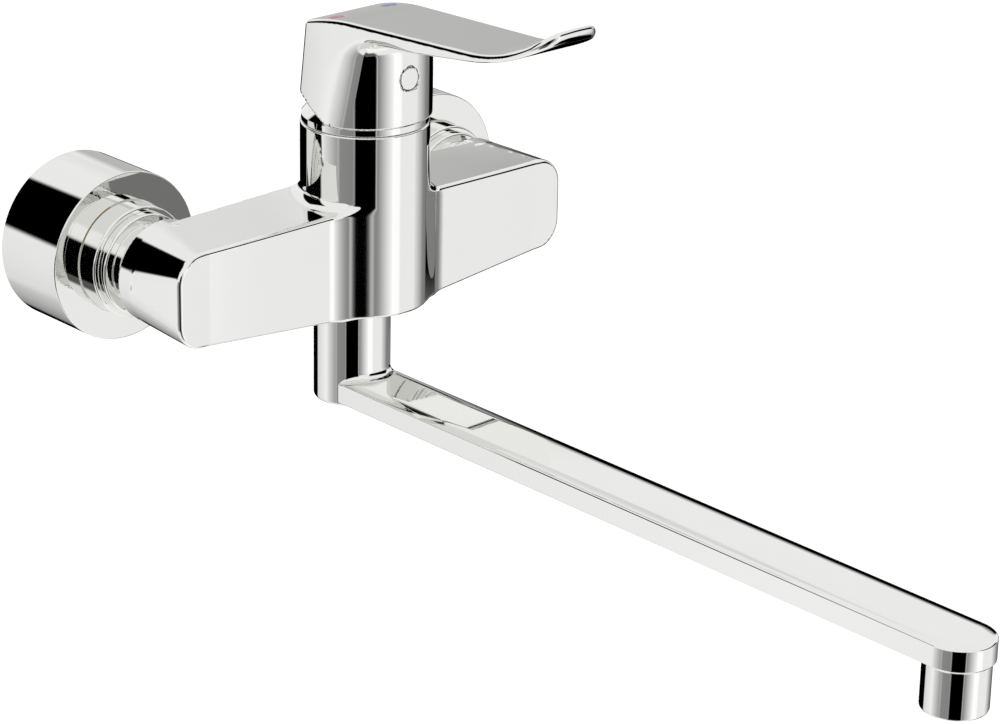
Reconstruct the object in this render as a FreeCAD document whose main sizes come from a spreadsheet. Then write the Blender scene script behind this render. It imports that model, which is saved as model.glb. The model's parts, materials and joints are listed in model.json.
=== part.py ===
import FreeCAD, Part
import math
import os
import re
import Sketcher
from FreeCAD import Placement, Rotation, Vector

# Wall-mounted single-lever kitchen mixer with a long flat swivel spout.
# Frame: the wall is the plane y = 0 and the room is on its -Y side. The origin lies on the wall,
# midway between the two inlets, at the height of their axes. +Z is up and +X is to the right.
# Lengths are in millimetres. A "depth" is a distance from the wall, so it lies at y = -depth.

DRIVING = {
    # Wall unions
    "inlet_spacing": 150,
    "wall_thread_radius": 10.48,
    "wall_thread_length": 18,
    "wall_bore_radius": 6.5,
    "eccentric_offset": 8,
    "eccentric_radius": 13,
    "eccentric_start": 4,
    "eccentric_end": 16,
    "union_thread_radius": 13.2,
    "union_bore_radius": 8,
    "connector_depth": 30,
    "escutcheon_radius": 32,
    "escutcheon_depth": 32.6,
    "escutcheon_wall": 1.2,
    "escutcheon_bevel": 0.4,
    "washer_thickness": 2,
    "nut_start": 20,
    "nut_depth": 41.8,
    "nut_radius": 21.1,
    "nut_bevel": 0.8,
    "nut_shoulder": 4.9,
    "nipple_neck_radius": 10.5,
    "nipple_bore_radius": 7.5,
    "nipple_flange_radius": 12,
    "nipple_screw_length": 10,
    "collar_radius": 19.2,
    "collar_depth": 45.6,
    "collar_sleeve_radius": 15.5,
    "strainer_wall": 0.6,
    "strainer_length": 8,
    "strainer_hole_radius": 0.7,
    # Body
    "port_radius": 19.6,
    "port_depth": 54,
    "port_bore_radius": 10.2,
    "body_back_depth": 58.2,
    "body_front_depth": 87.5,
    "wing_half_width": 92.8,
    "wing_corner_radius": 11,
    "wing_top_height": 19.3,
    "wing_top_slope": 0.02,
    "wing_bottom_drop": 25.3,
    "wing_bottom_slope": 0.075,
    "back_top_height": 22.0,
    "wing_bevel": 1.1,
    "wing_blend_radius": 8,
    "axis_depth": 80,
    "tower_radius": 24,
    "tower_height": 49.3,
    "tower_bevel": 0.6,
    "chin_drop": 19.6,
    "chin_round": 2,
    "water_way_height": 4,
    "water_way_radius": 3.8,
    "port_chamber_radius": 6,
    # Cartridge
    "cavity_floor_height": 10,
    "cartridge_radius": 17.25,
    "cartridge_port_radius": 3,
    "inlet_port_offset": 3,
    "inlet_port_spread": 7,
    "seal_width": 1.2,
    "seal_thickness": 1.5,
    "base_thickness": 4,
    "disc_thickness": 4,
    "fixed_disc_radius": 13,
    "control_disc_radius": 10,
    "control_disc_thickness": 3.4,
    "disc_travel": 3.72,
    "recess_depth": 1.8,
    "recess_edge": 0.8,
    "recess_half_width": 7,
    "recess_shoulder": 4,
    "recess_stem_half": 3,
    "recess_end": 9,
    "carrier_thickness": 4,
    "ball_radius": 2.4,
    "ball_drop": 8.8,
    "pin_height": 33,
    "pin_radius": 1.5,
    "rotor_radius": 12,
    "rotor_flange_thickness": 2.3,
    "rotor_height": 40,
    "rotor_slot_half": 9.3,
    "rotor_cap_wall": 1.5,
    "rotor_cap_edge": 17.9,
    "housing_shoulder_height": 36,
    "housing_neck_radius": 13.8,
    "housing_height": 42,
    "top_thread_radius": 20,
    "cartridge_nut_thickness": 6.8,
    "spanner_hole_radius": 1.4,
    "spanner_hole_depth": 3,
    "spindle_width": 8,
    "spindle_neck_radius": 1.5,
    "spindle_foot": 4.5,
    "spindle_height": 75,
    # Dome and lever
    "dome_ring_height": 52,
    "dome_radius": 30.26,
    "dome_top_radius": 17,
    "dome_wall": 1.4,
    "dome_skirt_wall": 1.5,
    "handle_gap": 0.44,
    "handle_radius": 24.7,
    "handle_rim_height": 52.5,
    "handle_taper_height": 112,
    "handle_back_depth": 66.3,
    "handle_back_height": 86.7,
    "handle_back_corner": 3,
    "handle_flank_depth": 84,
    "handle_low_half_width": 21.8,
    "handle_high_half_width": 15.7,
    "flank_high_half_width": 14.5,
    "blade_low_half_width": 22.6,
    "blade_high_half_width": 12.5,
    "blade_end_corner": 5.6,
    "blade_end_angle": 20,
    "blade_end_setback": 9.6,
    "blade_crown_depth": 92,
    "blade_crown_rise": 4.65,
    "blade_waist_slope": 0.0456,
    "blade_waist_thickness": 3.3,
    "blade_under_slope": 0.113,
    "blade_bend_depth": 153,
    "blade_bend_radius": 60,
    "blade_tip_angle": 43.6,
    "blade_tip_thickness": 4.8,
    "blade_arch_radius": 5,
    "blade_edge_radius": 1,
    "heel_depth": 84.3,
    "heel_slope": 0.52,
    "handle_screw_height": 70.2,
    "handle_screw_radius": 2.5,
    "handle_screw_length": 8,
    "handle_screw_key_radius": 1.4,
    "screw_cap_radius": 4.3,
    "screw_cap_thickness": 1.6,
    "index_radius": 2.9,
    "index_spread": 12.5,
    "index_depth": 78.5,
    "index_floor_height": 87,
    # Spout
    "riser_depth": 73,
    "riser_radius": 14.5,
    "riser_drop": 61.3,
    "riser_bore_radius": 7.5,
    "riser_round": 1.2,
    "riser_floor": 2.9,
    "spigot_radius": 11,
    "spigot_drop": 9,
    "mixed_chamber_drop": 4,
    "ring_groove_depth": 1.7,
    "ring_groove_width": 2,
    "upper_ring_drop": 12,
    "lower_ring_drop": 15.6,
    "retainer_drop": 20.5,
    "retainer_radius": 2,
    "retainer_tip_radius": 1.4,
    "retainer_length": 4.5,
    "retainer_groove_width": 3.6,
    "arm_length": 300,
    "arm_width": 25.4,
    "arm_top_drop": 51.9,
    "arm_bottom_drop": 60,
    "arm_wall": 1.6,
    "arm_top_round": 2,
    "arm_bottom_round": 0.5,
    "outlet_radius": 11.5,
    "outlet_drop": 77.9,
    "outlet_throat_radius": 7.5,
    "outlet_bore_radius": 10,
    "aerator_wall": 1.5,
    "aerator_recess": 0.5,
    "aerator_length": 11,
    "aerator_plate": 2.5,
    "aerator_hole_radius": 0.8,
    "aerator_seal_thickness": 1.5,
    # Clearances
    "joint_gap": 0.3,
    "face_gap": 0.1,
    "running_gap": 0.05,
}

DERIVED = {
    "inlet_half": "inlet_spacing / 2",
    "inlet_way_depth": "axis_depth",
    "chamber_depth": "port_depth + nipple_screw_length + wing_bevel",
    "cavity_radius": "cartridge_radius + face_gap",
    "base_top": "cavity_floor_height + base_thickness",
    "fixed_disc_top": "base_top + disc_thickness",
    "control_disc_bottom": "fixed_disc_top + running_gap",
    "control_disc_top": "control_disc_bottom + control_disc_thickness",
    "carrier_top": "control_disc_top + carrier_thickness",
    "ball_height": "pin_height - ball_drop",
    "rotor_bottom": "carrier_top + joint_gap",
    "rotor_flange_top": "rotor_bottom + rotor_flange_thickness",
    "housing_bore_radius": "control_disc_radius + disc_travel + joint_gap",
    "cartridge_nut_top": "housing_shoulder_height + cartridge_nut_thickness",
    "dome_bottom": "tower_height + face_gap",
    "dome_ring_radius": "sqrt(dome_radius ^ 2 - (dome_ring_height - pin_height) ^ 2)",
    "dome_top_height": "pin_height + sqrt(dome_radius ^ 2 - dome_top_radius ^ 2)",
    "dome_inner_radius": "dome_radius - dome_wall",
    "dome_mouth_radius": "dome_top_radius - dome_wall / 2",
    "rotor_cap_outer": "dome_inner_radius - joint_gap",
    "rotor_cap_inner": "rotor_cap_outer - rotor_cap_wall",
    "dome_skirt_radius": "top_thread_radius - face_gap",
    "dome_skirt_bore": "dome_skirt_radius - dome_skirt_wall",
    "handle_sphere_radius": "dome_radius + handle_gap",
    "handle_back": "axis_depth - handle_back_depth",
    "blade_crown_height": "handle_back_height + blade_crown_rise",
    "blade_crown_run": "blade_crown_depth - handle_back_depth",
    "blade_waist_run": "blade_bend_depth - blade_crown_depth",
    "blade_bend_height": "blade_crown_height + blade_waist_slope * blade_waist_run",
    "blade_waist_cosine": "1 / sqrt(1 + blade_waist_slope ^ 2)",
    "blade_waist_sine": "blade_waist_slope * blade_waist_cosine",
    "blade_tip_run": "blade_bend_radius * (sin(blade_tip_angle) - blade_waist_sine)",
    "blade_tip_rise": "blade_bend_radius * (blade_waist_cosine - cos(blade_tip_angle))",
    "blade_tip": "axis_depth - blade_bend_depth - blade_tip_run",
    "blade_tip_height": "blade_bend_height + blade_tip_rise",
    "blade_shoulder": "blade_tip + blade_end_setback",
    "blade_under_height": "blade_bend_height - blade_waist_thickness",
    "blade_under_rise": "blade_tip_rise + blade_waist_thickness - blade_tip_thickness",
    "blade_root_run": "blade_bend_depth - axis_depth - handle_radius",
    "blade_root_height": "blade_under_height - blade_under_slope * blade_root_run",
    "riser_top_drop": "wing_bottom_drop + joint_gap",
    "arm_half": "arm_width / 2",
    "outlet_depth": "riser_depth + arm_length",
    "aerator_radius": "outlet_bore_radius - face_gap",
    "aerator_bore_radius": "aerator_radius - aerator_wall",
    "aerator_bottom_drop": "outlet_drop - aerator_recess",
    "aerator_top_drop": "aerator_bottom_drop - aerator_length",
    "aerator_seal_drop": "aerator_top_drop - aerator_seal_thickness",
}

doc = FreeCAD.newDocument("wall_mixer")
sheet = doc.addObject("Spreadsheet::Sheet", "sizes")
for row, (alias, amount) in enumerate(list(DRIVING.items()) + list(DERIVED.items()), 1):
    sheet.set(f"A{row}", alias)
    sheet.set(f"B{row}", f"={amount}" if alias in DERIVED else str(amount))
    sheet.setAlias(f"B{row}", alias)
doc.recompute()

PLANE_SIGN = {"XY_Plane": 1, "XZ_Plane": -1, "YZ_Plane": 1}
parts = []


def bound(text):
    """The expression with every size in it looked up in the sheet."""
    return re.sub(r"\b([a-z]+(?:_[a-z]+)+)\b", r"sizes.\1", text)


def value(text):
    return float(sheet.evalExpression(text))


def near(first, second, slack=1e-3):
    return abs(first - second) < slack


def new_body(name, x="0", y="0", z="0", kept=True):
    body = doc.addObject("PartDesign::Body", name)
    body.Label = name
    body.Placement = Placement(Vector(value(x), value(y), value(z)), Rotation())
    for axis, text in zip("xyz", (x, y, z)):
        body.setExpression(f"Placement.Base.{axis}", bound(text))
    if kept:
        parts.append(body)
    return body


def new_sketch(body, plane, level="0"):
    """A sketch parallel to one of the body's own planes, at a level along the plane's axis."""
    sketch = body.newObject("Sketcher::SketchObject", "Sketch")
    support = [item for item in body.Origin.OriginFeatures if item.Role == plane][0]
    sketch.AttachmentSupport = [(support, "")]
    sketch.MapMode = "FlatFace"
    shift = level if PLANE_SIGN[plane] > 0 else f"-({level})"
    sketch.AttachmentOffset = Placement(Vector(0, 0, value(shift)), Rotation())
    sketch.setExpression("AttachmentOffset.Base.z", bound(shift))
    return sketch


def fix_point(sketch, item, end, x, y):
    """Place one end of an edge, or a circle's centre, by two expressions."""
    for kind, text, axis in (("DistanceX", x, -2), ("DistanceY", y, -1)):
        if text == "0":
            sketch.addConstraint(Sketcher.Constraint("PointOnObject", item, end, axis))
        else:
            number = sketch.addConstraint(Sketcher.Constraint(kind, item, end, value(text)))
            sketch.setExpression(f"Constraints[{number}]", bound(text))


def fix_radius(sketch, item, text):
    number = sketch.addConstraint(Sketcher.Constraint("Radius", item, value(text)))
    sketch.setExpression(f"Constraints[{number}]", bound(text))


def arc_between(start, end, radius, left):
    """The short arc from start to end whose centre is on the left, or else the right, of the way."""
    middle = (start + end) * 0.5
    chord = end - start
    rise = math.sqrt(max(radius ** 2 - (chord.Length / 2) ** 2, 0))
    across = Vector(-chord.y, chord.x, 0).normalize() * (rise if left else -rise)
    centre = middle + across
    first, last = (start, end) if left else (end, start)
    angles = [math.atan2(point.y - centre.y, point.x - centre.x) for point in (first, last)]
    return Part.ArcOfCircle(Part.Circle(centre, Vector(0, 0, 1), radius), angles[0], angles[1])


def draw_outline(sketch, points):
    """A closed outline. A point is (x, y), or (x, y, side, radius) where the edge that leaves it
    is an arc with its centre on that side, left or right, of the way."""
    spots = [Vector(value(point[0]), value(point[1]), 0) for point in points]
    ends = []
    for number, point in enumerate(points):
        start, end = spots[number], spots[(number + 1) % len(points)]
        if len(point) == 2:
            item = sketch.addGeometry(Part.LineSegment(start, end), False)
            ends.append((item, 1, 2))
        else:
            left = point[2] == "left"
            item = sketch.addGeometry(arc_between(start, end, value(point[3]), left), False)
            ends.append((item, 1, 2) if left else (item, 2, 1))
    for number, (item, first, last) in enumerate(ends):
        following, start, _ = ends[(number + 1) % len(ends)]
        sketch.addConstraint(Sketcher.Constraint("Coincident", item, last, following, start))
        fix_point(sketch, item, first, points[number][0], points[number][1])
        if len(points[number]) == 4:
            fix_radius(sketch, item, points[number][3])
    return sketch


def draw_circle(sketch, x, y, radius):
    circle = Part.Circle(Vector(value(x), value(y), 0), Vector(0, 0, 1), value(radius))
    item = sketch.addGeometry(circle, False)
    fix_point(sketch, item, 3, x, y)
    fix_radius(sketch, item, radius)
    return sketch


def extrude(body, kind, sketch, length, reverse=False, symmetric=False):
    feature = body.newObject(f"PartDesign::{kind}", kind)
    feature.Profile = sketch
    feature.setExpression("Length", bound(length))
    feature.SideType = "Symmetric" if symmetric else "One side"
    feature.Reversed = reverse
    sketch.Visibility = False
    return feature


def pad(body, sketch, length, reverse=False, symmetric=False):
    return extrude(body, "Pad", sketch, length, reverse, symmetric)


def pocket(body, sketch, length, reverse=False, symmetric=False):
    return extrude(body, "Pocket", sketch, length, reverse, symmetric)


def turn(body, plane, points, kind="Revolution", level="0", axis="V_Axis"):
    """A profile turned about an axis of its sketch, by default as (radius, height) about V."""
    sketch = draw_outline(new_sketch(body, plane, level), points)
    feature = body.newObject(f"PartDesign::{kind}", kind)
    feature.Profile = sketch
    feature.ReferenceAxis = (sketch, [axis])
    feature.Angle = 360
    return feature


def dress(body, kind, amount, picks):
    """A fillet or a chamfer on the edges that the test picks."""
    doc.recompute()
    base = body.Tip
    edges = [f"Edge{number}" for number, edge in enumerate(base.Shape.Edges, 1) if picks(edge)]
    if not edges:
        raise ValueError(f"{body.Label}: no edge found for a {kind}")
    feature = body.newObject(f"PartDesign::{kind}", kind)
    feature.Base = (base, edges)
    feature.setExpression("Radius" if kind == "Fillet" else "Size", bound(amount))
    return feature


def hole_ring(body, plane, level, distance, radius, count, length, reverse=False):
    """A ring of equal holes about the axis that stands on the plane."""
    sketch = draw_circle(new_sketch(body, plane, level), distance, "0", radius)
    hole = pocket(body, sketch, length, reverse)
    pattern = body.newObject("PartDesign::PolarPattern", "PolarPattern")
    pattern.Originals = [hole]
    pattern.Axis = (sketch, ["N_Axis"])
    pattern.Angle = 360
    pattern.Occurrences = count
    body.Tip = pattern
    return pattern


def flat_ring(name, outer, inner, bottom, top, **place):
    """A plain ring about a vertical axis."""
    body = new_body(name, **place)
    turn(body, "XZ_Plane", [(inner, bottom), (outer, bottom), (outer, top), (inner, top)])
    return body


def make_wall_union(side_name, side):
    """One inlet: everything between the wall and the body's port, about an axis along Y."""
    place = {"x": f"{side} * inlet_half"}

    # The eccentric connector: a stud for the wall, an offset web and a stud for the union
    body = new_body(f"wall_connector_{side_name}", **place)
    web = new_sketch(body, "XZ_Plane", "-eccentric_start")
    draw_outline(web, [
        ("eccentric_radius", "0"),
        ("eccentric_radius", "eccentric_offset", "left", "eccentric_radius"),
        ("0", "eccentric_offset + eccentric_radius", "left", "eccentric_radius"),
        ("-eccentric_radius", "eccentric_offset"),
        ("-eccentric_radius", "0", "left", "eccentric_radius"),
        ("0", "-eccentric_radius", "left", "eccentric_radius"),
    ])
    pad(body, web, "eccentric_end - eccentric_start")
    stud = draw_circle(new_sketch(body, "XZ_Plane", "wall_thread_length"),
                       "0", "eccentric_offset", "wall_thread_radius")
    pad(body, stud, "wall_thread_length + eccentric_start")
    tail = draw_circle(new_sketch(body, "XZ_Plane", "-eccentric_end"),
                       "0", "0", "union_thread_radius - running_gap")
    pad(body, tail, "connector_depth - eccentric_end")
    inlet = draw_circle(new_sketch(body, "XZ_Plane", "wall_thread_length"),
                        "0", "eccentric_offset", "wall_bore_radius")
    pocket(body, inlet, "wall_thread_length + (eccentric_start + eccentric_end) / 2", reverse=True)
    outlet = draw_circle(new_sketch(body, "XZ_Plane", "-connector_depth"),
                         "0", "0", "union_bore_radius")
    pocket(body, outlet, "connector_depth - eccentric_start - escutcheon_wall")

    # The escutcheon: a deep cup that stands on the wall round the union nut
    body = new_body(f"escutcheon_{side_name}", **place)
    turn(body, "XY_Plane", [
        ("escutcheon_radius - escutcheon_wall", "0"),
        ("escutcheon_radius", "0"),
        ("escutcheon_radius", "-escutcheon_depth + escutcheon_bevel"),
        ("escutcheon_radius - escutcheon_bevel", "-escutcheon_depth"),
        ("nut_radius + joint_gap", "-escutcheon_depth"),
        ("nut_radius + joint_gap", "-escutcheon_depth + escutcheon_wall"),
        ("escutcheon_radius - escutcheon_wall", "-escutcheon_depth + escutcheon_wall"),
    ])

    # The round union nut, with an inner shoulder that pulls on the nipple's flange
    body = new_body(f"union_nut_{side_name}", **place)
    turn(body, "XY_Plane", [
        ("union_thread_radius", "-nut_start"),
        ("nut_radius", "-nut_start"),
        ("nut_radius", "-nut_depth + nut_bevel"),
        ("nut_radius - nut_bevel", "-nut_depth"),
        ("nipple_neck_radius + joint_gap", "-nut_depth"),
        ("nipple_neck_radius + joint_gap", "-nut_depth + nut_shoulder"),
        ("union_thread_radius", "-nut_depth + nut_shoulder"),
    ])

    # The washer between the connector and the nipple
    body = new_body(f"sealing_washer_{side_name}", **place)
    turn(body, "XY_Plane", [
        ("union_bore_radius + joint_gap", "-connector_depth"),
        ("nipple_flange_radius", "-connector_depth"),
        ("nipple_flange_radius", "-connector_depth - washer_thickness"),
        ("union_bore_radius + joint_gap", "-connector_depth - washer_thickness"),
    ])

    # The strainer: a cup in the connector's bore with a brim clamped inside the washer
    body = new_body(f"strainer_{side_name}", **place)
    turn(body, "XY_Plane", [
        ("0", "-connector_depth + strainer_length"),
        ("union_bore_radius - face_gap", "-connector_depth + strainer_length"),
        ("union_bore_radius - face_gap", "-connector_depth"),
        ("union_bore_radius + running_gap * 4", "-connector_depth"),
        ("union_bore_radius + running_gap * 4", "-connector_depth - washer_thickness"),
        ("union_bore_radius - strainer_wall - face_gap", "-connector_depth - washer_thickness"),
        ("union_bore_radius - strainer_wall - face_gap",
         "-connector_depth + strainer_length - strainer_wall"),
        ("0", "-connector_depth + strainer_length - strainer_wall"),
    ])
    for distance, count in (("strainer_hole_radius * 3.2", 6), ("strainer_hole_radius * 6.4", 12)):
        hole_ring(body, "XZ_Plane", "-connector_depth + strainer_length", distance,
                  "strainer_hole_radius", count, "strainer_wall", reverse=True)

    # The nipple: a flange in the nut, a neck through it and a screw in the body's port
    body = new_body(f"inlet_nipple_{side_name}", **place)
    turn(body, "XY_Plane", [
        ("nipple_bore_radius", "-connector_depth - washer_thickness"),
        ("nipple_flange_radius", "-connector_depth - washer_thickness"),
        ("nipple_flange_radius", "-nut_depth + nut_shoulder"),
        ("nipple_neck_radius", "-nut_depth + nut_shoulder"),
        ("nipple_neck_radius", "-port_depth"),
        ("port_bore_radius - running_gap", "-port_depth"),
        ("port_bore_radius - running_gap", "-port_depth - nipple_screw_length"),
        ("nipple_bore_radius", "-port_depth - nipple_screw_length"),
    ])

    # The stepped collar that fills the space between the nut and the port
    body = new_body(f"inlet_collar_{side_name}", **place)
    turn(body, "XY_Plane", [
        ("nipple_neck_radius + face_gap", "-nut_depth - face_gap"),
        ("collar_radius", "-nut_depth - face_gap"),
        ("collar_radius", "-collar_depth + nut_bevel"),
        ("collar_radius - nut_bevel", "-collar_depth"),
        ("collar_sleeve_radius", "-collar_depth"),
        ("collar_sleeve_radius", "-port_depth"),
        ("nipple_neck_radius + face_gap", "-port_depth"),
    ])


def make_mixer_body():
    """The cast body: two ports, two wings and an upright tower with the cartridge's cavity."""
    body = new_body("mixer_body")

    # The bar, as two halves lofted from the back outline to the front outline
    back = new_sketch(body, "XZ_Plane", "-body_back_depth")
    draw_outline(back, [
        ("0", "back_top_height"),
        ("0", "-wing_bottom_drop"),
        ("inlet_half", "-port_radius", "left", "port_radius"),
        ("inlet_half + port_radius * sin(60)", "-port_radius / 2", "left", "port_radius"),
        ("inlet_half + port_radius * sin(60)", "port_radius / 2", "left", "port_radius"),
        ("inlet_half", "port_radius"),
    ])
    shoulder = draw_wing_outline(body, "-body_front_depth + wing_bevel", "0")
    face = draw_wing_outline(body, "-body_front_depth", "wing_bevel")
    loft = body.newObject("PartDesign::AdditiveLoft", "AdditiveLoft")
    loft.Profile = back
    loft.Sections = [shoulder, face]
    loft.Ruled = True
    mirror = body.newObject("PartDesign::Mirrored", "Mirrored")
    mirror.Originals = [loft]
    mirror.MirrorPlane = (back, ["V_Axis"])
    body.Tip = mirror

    # The tower, with hollow corners between it and the wings and a chin that rises to the front
    tower = draw_circle(new_sketch(body, "XY_Plane", "-wing_bottom_drop"),
                        "0", "-axis_depth", "tower_radius")
    pad(body, tower, "wing_bottom_drop + tower_height")
    dress(body, "Fillet", "wing_blend_radius", is_hollow_corner)
    chin = new_sketch(body, "YZ_Plane")
    draw_outline(chin, [
        ("-body_front_depth", "-wing_bottom_drop"),
        ("-axis_depth - tower_radius - joint_gap", "-wing_bottom_drop - joint_gap"),
        ("-axis_depth - tower_radius - joint_gap", "-chin_drop"),
    ])
    pocket(body, chin, "wing_half_width", symmetric=True)

    # The ports behind the wings, each with its screwed bore and chamber, and the inlet water ways
    for side in (-1, 1):
        centre = f"{side} * inlet_half"
        port = draw_circle(new_sketch(body, "XZ_Plane", "-port_depth"), centre, "0", "port_radius")
        pad(body, port, "body_back_depth - port_depth")
        turn(body, "YZ_Plane", [
            ("joint_gap - port_depth", "0"),
            ("-inlet_way_depth - water_way_radius", "0"),
            ("-inlet_way_depth - water_way_radius", "port_chamber_radius"),
            ("-chamber_depth", "port_chamber_radius"),
            ("-chamber_depth", "port_bore_radius"),
            ("joint_gap - port_depth", "port_bore_radius"),
        ], kind="Groove", level=centre, axis="H_Axis")
        way = draw_circle(new_sketch(body, "YZ_Plane", f"{side} * inlet_port_spread"),
                          "-inlet_way_depth", "water_way_height", "water_way_radius")
        pocket(body, way, "inlet_half - inlet_port_spread", reverse=side > 0)

    # The cartridge's cavity with its thread, and the three holes in its floor
    cavity = draw_circle(new_sketch(body, "XY_Plane", "cavity_floor_height"),
                         "0", "-axis_depth", "cavity_radius")
    pocket(body, cavity, "tower_height - cavity_floor_height", reverse=True)
    thread = draw_circle(new_sketch(body, "XY_Plane", "housing_shoulder_height"),
                         "0", "-axis_depth", "top_thread_radius")
    pocket(body, thread, "tower_height - housing_shoulder_height", reverse=True)
    inlets = new_sketch(body, "XY_Plane", "cavity_floor_height")
    for side in (-1, 1):
        draw_circle(inlets, f"{side} * inlet_port_spread", "-axis_depth - inlet_port_offset",
                    "cartridge_port_radius")
    pocket(body, inlets, "cavity_floor_height - water_way_height")
    outlet = draw_circle(new_sketch(body, "XY_Plane", "cavity_floor_height"),
                         "0", "-riser_depth", "cartridge_port_radius")
    pocket(body, outlet, "cavity_floor_height + mixed_chamber_drop")

    # The spout's bore under the tower, and the screw hole behind it
    bore = draw_circle(new_sketch(body, "XY_Plane", "-mixed_chamber_drop"),
                       "0", "-riser_depth", "spigot_radius + running_gap")
    pocket(body, bore, "wing_bottom_drop - mixed_chamber_drop + joint_gap")
    retainer = draw_circle(new_sketch(body, "XZ_Plane", "-riser_depth"),
                           "0", "-retainer_drop", "retainer_radius")
    pocket(body, retainer, "spigot_radius + tower_radius")
    dress(body, "Fillet", "tower_bevel", is_tower_rim)
    dress(body, "Fillet", "chin_round", is_chin_rim)
    return body


def draw_wing_outline(body, level, inset):
    """Half of the bar's outline near its front: straight edges with two corner arcs."""
    corner = f"(wing_corner_radius - {inset})"
    inner = "(wing_half_width - wing_corner_radius)"
    reach = f"(wing_half_width - {inset})"
    bottom = f"(wing_bottom_slope * {inner} - wing_bottom_drop + {inset})"
    top = f"(wing_top_height - wing_top_slope * {inner} - {inset})"
    return draw_outline(new_sketch(body, "XZ_Plane", level), [
        ("0", f"wing_top_height - {inset}"),
        ("0", f"{inset} - wing_bottom_drop"),
        (inner, bottom, "left", corner),
        (reach, f"{bottom} + {corner}"),
        (reach, f"{top} - {corner}", "left", corner),
        (inner, top),
    ])


def is_in_front_plane(edge):
    box = edge.BoundBox
    return near(box.YMin, -value("body_front_depth")) and near(box.YMax, box.YMin)


def is_hollow_corner(edge):
    """The upright edge where a wing's front face meets the tower."""
    box = edge.BoundBox
    upright = near(box.XMin, box.XMax) and box.ZLength > value("wing_top_height")
    return upright and is_in_front_plane(edge)


def is_tower_rim(edge):
    box = edge.BoundBox
    return near(box.ZMin, value("tower_height")) and box.XLength > value("top_thread_radius * 2.1")


def is_chin_rim(edge):
    """The edge under the tower's front, where the chin rises."""
    box = edge.BoundBox
    return box.ZMax < 0 and near(box.YMin, -value("axis_depth + tower_radius"))


CARTRIDGE = {"y": "-axis_depth"}
LEVER = {"y": "-axis_depth", "z": "pin_height"}
SPOUT = {"y": "-riser_depth"}
OUTLET = {"y": "-outlet_depth"}


def pad_disc(body, radius, bottom, top):
    disc = draw_circle(new_sketch(body, "XY_Plane", bottom), "0", "0", radius)
    return pad(body, disc, f"{top} - ({bottom})")


def draw_ports(sketch, radius):
    """The cartridge's three ports: hot and cold in front, mixed water behind."""
    for side in (-1, 1):
        draw_circle(sketch, f"{side} * inlet_port_spread", "-inlet_port_offset", radius)
    draw_circle(sketch, "0", "axis_depth - riser_depth", radius)
    return sketch


def draw_box(sketch, left, right, bottom, top):
    return draw_outline(sketch, [(left, bottom), (right, bottom), (right, top), (left, top)])


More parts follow.
